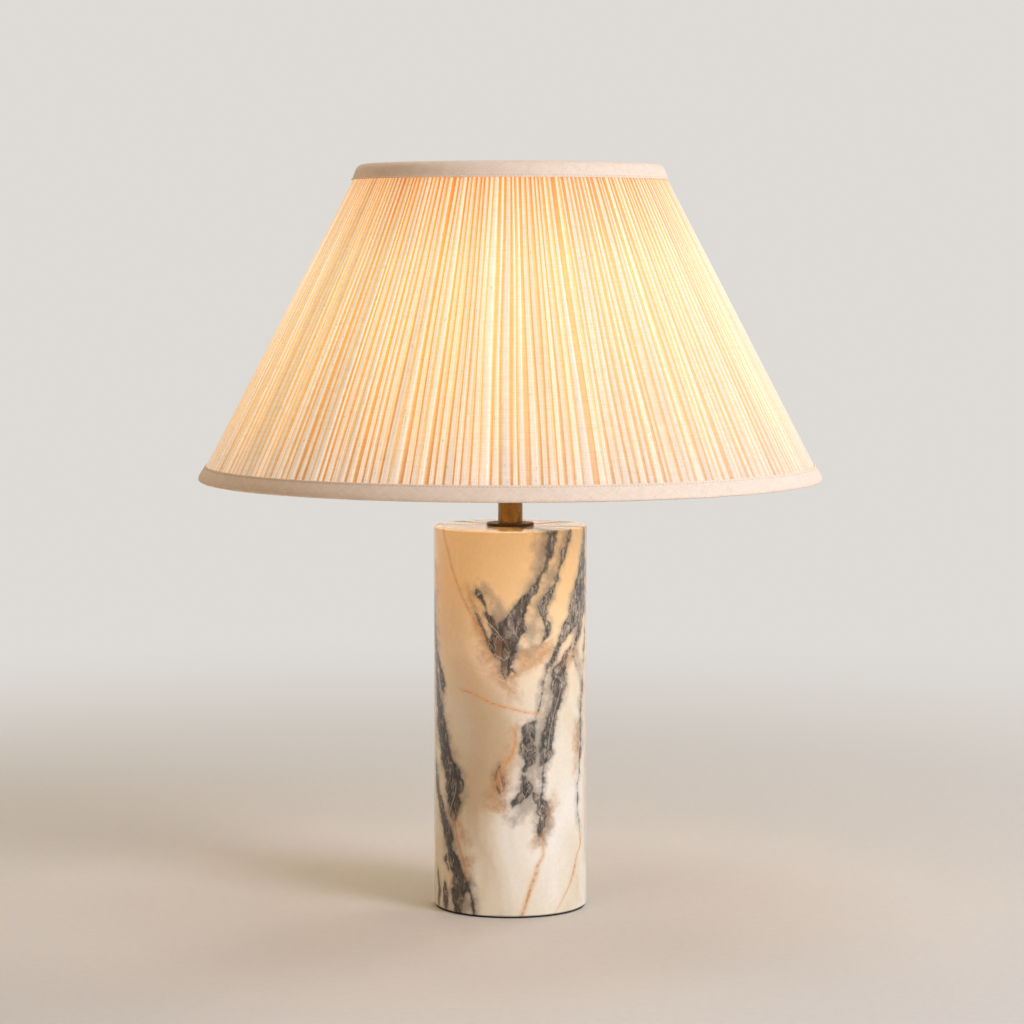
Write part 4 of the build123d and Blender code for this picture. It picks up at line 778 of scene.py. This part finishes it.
def fold_spots(rise):
    """Every point round the cloth at a share of the slant: (angle, height, turned edge, fold's number)."""
    for start, angle, gather in gathers():
        split = 0.5 + 0.26 * (chance(gather + 0.17) - 0.5) + 0.04 * sin(5 * rise + 6 * chance(gather + 0.71))
        for number, low, high in ((2 * gather, 0.0, split), (2 * gather + 1, split, 1.0)):
            for place, height, edge in fold_profile(number, rise):
                yield start + (low + place * (high - low)) * angle, height, edge, number


def gathered_linen():
    """The strip of linen, from a plain grid whose columns are laid over the folds."""
    # rows lie closer together near the tapes, where the folds close up
    rises = [
        0.5 * row / cloth_rows + 0.25 * (1 - cos(pi * row / cloth_rows)) for row in range(cloth_rows + 1)
    ]
    spots = [list(fold_spots(rise)) for rise in rises]
    columns = len(spots[0])
    # light spreads a little inside the cloth, so how raised it looks blends with its neighbours on both sides
    spread = [
        [(ring[i - 1][1] + 2 * ring[i][1] + ring[(i + 1) % columns][1]) / 4 for i in range(columns)]
        for ring in spots
    ]
    bm = bmesh.new()
    bmesh.ops.create_grid(bm, x_segments=columns, y_segments=cloth_rows, size=0.5)
    run = bm.loops.layers.uv.new("cloth")
    fold, layer, edge = [bm.verts.layers.float.new(name) for name in ("fold", "layer", "edge")]
    low_edge = shade_bottom + cloth_inset
    high_edge = shade_top - cloth_inset
    for face in bm.faces:
        for loop in face.loops:
            share = loop.vert.co.x + 0.5
            row = round((loop.vert.co.y + 0.5) * cloth_rows)
            loop[run].uv = (share * linen_cut_width * MM, rises[row] * linen_cut_length * MM)
    for vert in bm.verts:
        column = round((vert.co.x + 0.5) * columns) % columns
        row = round((vert.co.y + 0.5) * cloth_rows)
        rise = rises[row]
        angle, height, lip, number = spots[row][column]
        sway = sin(4.3 * rise + 6.3 * chance(number // 2 + 2.2)) * sin(pi * rise)
        angle += sway * gather_sway * 2 * pi / pleat_count
        level = low_edge + rise * (high_edge - low_edge)
        outer = cloth_radius(level)
        radius = outer - fold_depth * outer / cloth_bottom_radius * (1 - min(1.0, height))
        vert[fold] = spread[row][column]
        vert[edge] = lip
        vert[layer] = 2 * chance(number + 4.4) - 1 + 0.4 * sin(9 * rise + 6 * chance(number + 8.8))
        vert.co = Vector((radius * cos(angle), radius * sin(angle), level)) * MM
    bmesh.ops.remove_doubles(bm, verts=bm.verts, dist=weld_distance)
    bmesh.ops.recalc_face_normals(bm, faces=bm.faces)
    return piece("linen_gathers", bm, "linen", "shade", "pleated_linen")


linen = gathered_linen()
thicken(linen, cloth_thickness)


# ------------------------ tapes
tape_ripples = [(0.10, 31, 1.1), (0.07, 53, 0.4), (0.05, 89, 2.6)]       # size, waves round the shade, phase
lap_angle = 112.0            # the tapes' ends overlap at the back
lap_half_width = 5.0
lap_rise = 0.45


def tape_outline(rim, rim_radius, side, face, inside):
    """A tape's outer side as (radius, height) points, from its lip over the rim to its edge inside the shade.

    The side is 1 where the cloth lies above the rim and -1 where it lies below. The face is given as (height
    over the rim, stand off the cloth), and the inside as (radius less the rim's, height over the rim).
    """
    lip = rim + side * tape_height
    sewn = lip - side * stitch_inset
    return [
        (cloth_radius(lip) + 0.1, lip - side * 0.3),
        (cloth_radius(lip) + 0.9, lip + side * 0.1),
        (cloth_radius(lip) + 1.4, lip - side * 0.5),
        (cloth_radius(sewn) + 0.75, sewn),
        *[(cloth_radius(rim + over) + stand, rim + over) for over, stand in face],
        *[(rim_radius + aside, rim + over) for aside, over in inside],
    ]


def tape(name, outline, node):
    """A linen tape turned over a rim: its outer side, spun round the lamp."""
    bm = bmesh.new()
    verts = [bm.verts.new(Vector((radius, 0, height)) * MM) for radius, height in outline]
    edges = [bm.edges.new(pair) for pair in zip(verts, verts[1:])]
    bmesh.ops.spin(bm, geom=verts + edges, cent=(0, 0, 0), axis=(0, 0, 1), angle=2 * pi, steps=tape_steps,
                   use_merge=True)
    bmesh.ops.remove_doubles(bm, verts=bm.verts, dist=weld_distance)
    bmesh.ops.recalc_face_normals(bm, faces=bm.faces)
    run = bm.loops.layers.uv.new("cloth")
    lip_radius = outline[0][0]
    for face in bm.faces:
        middle = face.calc_center_median()
        heading = atan2(middle.y, middle.x)
        for loop in face.loops:
            co = loop.vert.co
            turn = (atan2(co.y, co.x) - heading + pi) % (2 * pi) - pi
            loop[run].uv = ((heading + turn) * lip_radius * MM, co.z - hypot(co.x, co.y))
    for vert in bm.verts:
        angle = atan2(vert.co.y, vert.co.x)
        ripple = sum(size * sin(waves * angle + phase) for size, waves, phase in tape_ripples)
        lap = exp(-(((angle - radians(lap_angle)) * lip_radius / lap_half_width) ** 6))
        out = Vector((cos(angle), sin(angle), 0))
        vert.co += out * (ripple + lap_rise * lap) * MM
    made = piece(name, bm, "linen_tape", "shade", node)
    smooth = made.modifiers.new("soft", "SUBSURF")
    smooth.levels = smooth.render_levels = 1
    thicken(made, tape_thickness)
    return made


bottom_tape = tape("bottom_tape", tape_outline(
    shade_bottom, cloth_bottom_radius, 1,
    face=[(7.4, 1.15), (5.0, 1.45), (2.8, 1.35), (1.2, 0.65), (0.3, -0.5), (-0.1, -3.0)],
    inside=[(-6.1, -0.1), (-8.0, 0.5), (-8.8, 1.8), (-8.9, 4.5), (-9.4, 8.4)],
), "bottom_trim")
top_tape = tape("top_tape", tape_outline(
    shade_top, cloth_top_radius, -1,
    face=[(-7.3, 1.25), (-4.3, 1.75), (-2.1, 1.65), (-0.7, 0.65), (0.0, -1.2)],
    inside=[(-2.8, -0.1), (-4.2, -0.9), (-4.6, -2.5), (-4.4, -4.9), (-2.6, -8.3)],
), "top_trim")

# ------------------------ floor, light and camera
# from here on places and sizes are in metres, but for the camera's
pale = linear("#DEDBD6")
floor_radius = 14.0
floor_sides = 96
fade_start = 0.28
fade_end = 1.5
lamp_middle = Vector((0, 0, 0.26))


def backdrop_rays(tree):
    """1 for rays that should see the plain backdrop: the camera's, a mirror's and those through glass."""
    path = add(tree, "LightPath")
    return deepest(tree, [
        path.outputs[name] for name in ("Is Camera Ray", "Is Glossy Ray", "Is Transmission Ray")
    ])


def pale_floor():
    """A matt floor that melts into the backdrop's colour away from the lamp."""
    made, tree, shader = material("pale_floor", "#D6D2CC", Roughness=0.7)
    place = add(tree, "TexCoord").outputs["Object"]
    away = add(tree, "VectorMath", {0: place}, operation="LENGTH").outputs["Value"]
    grit = add(tree, "TexNoise", {"Vector": place, "Scale": 1000 / 6, "Detail": 3.0})
    tone = add(tree, "Mix", {"Factor": grit, "A": linear("#D2CEC8"), "B": linear("#DAD7D2")},
               data_type="RGBA")
    fade = add(tree, "MapRange", {"Value": away, "From Min": fade_start, "From Max": fade_end},
               interpolation_type="SMOOTHSTEP")
    fade = add(tree, "Math", {0: fade, 1: backdrop_rays(tree)}, operation="MULTIPLY")
    plain = add(tree, "Emission", {"Color": pale, "Strength": 1.0})
    mixed = add(tree, "MixShader", {0: fade, 1: shader, 2: plain})
    feed(tree, shader, Base_Color=tone)
    feed(tree, tree.nodes["Material Output"], Surface=mixed)
    return made


floor_mesh = bpy.data.meshes.new("floor")
bm = bmesh.new()
bmesh.ops.create_circle(bm, cap_ends=True, segments=floor_sides, radius=floor_radius)
bm.to_mesh(floor_mesh)
bm.free()
floor = bpy.data.objects.new("floor", floor_mesh)
bpy.context.scene.collection.objects.link(floor)
floor_mesh.materials.append(pale_floor())

world = bpy.data.worlds.new("studio")
bpy.context.scene.world = world
world.use_nodes = True
sky = world.node_tree
seen = backdrop_rays(sky)
sky_colour = add(sky, "Mix", {"Factor": seen, "A": linear("#E8CFAE"), "B": pale}, data_type="RGBA")
sky_strength = add(sky, "Mix", {"Factor": seen, "A": 0.3, "B": 1.0}, data_type="FLOAT")
feed(sky, sky.nodes["Background"], Color=sky_colour, Strength=sky_strength)


def softbox(name, place, size, power, colour="#FFFFFF"):
    """A square studio light, turned to the middle of the lamp."""
    light = bpy.data.lights.new(name, "AREA")
    light.shape = "SQUARE"
    light.size = size
    light.energy = power
    light.color = linear(colour)[:3]
    made = bpy.data.objects.new(name, light)
    bpy.context.scene.collection.objects.link(made)
    made.location = place
    made.rotation_euler = (lamp_middle - Vector(place)).to_track_quat("-Z", "Y").to_euler()


softbox("key", (1.55, -1.42, 0.95), 0.9, 37, "#E8EDFF")
softbox("fill", (-1.7, -1.6, 0.9), 1.2, 4, "#FFC890")
softbox("overhead", (0.1, 0.3, 2.3), 1.2, 11)
softbox("rim", (1.3, 1.5, 1.0), 0.7, 9)
softbox("back_fill", (-1.4, 1.6, 1.1), 1.0, 7, "#FFDDB8")

camera_distance = 2147.0
camera_height = 429.9
camera_aside = 1.1
camera_pitch = 4.56
focal_pixels = 3300.0
frame_pixels = 1024.0

lens = bpy.data.cameras.new("camera")
lens.sensor_width = 36.0
lens.lens = lens.sensor_width * focal_pixels / frame_pixels
lens.clip_start = 0.05
lens.clip_end = 60.0
camera = bpy.data.objects.new("camera", lens)
bpy.context.scene.collection.objects.link(camera)
camera.location = Vector((camera_aside, -camera_distance, camera_height)) * MM
camera.rotation_euler = (radians(90 - camera_pitch), 0, 0)
bpy.context.scene.camera = camera
bpy.context.scene.view_settings.view_transform = "Standard"
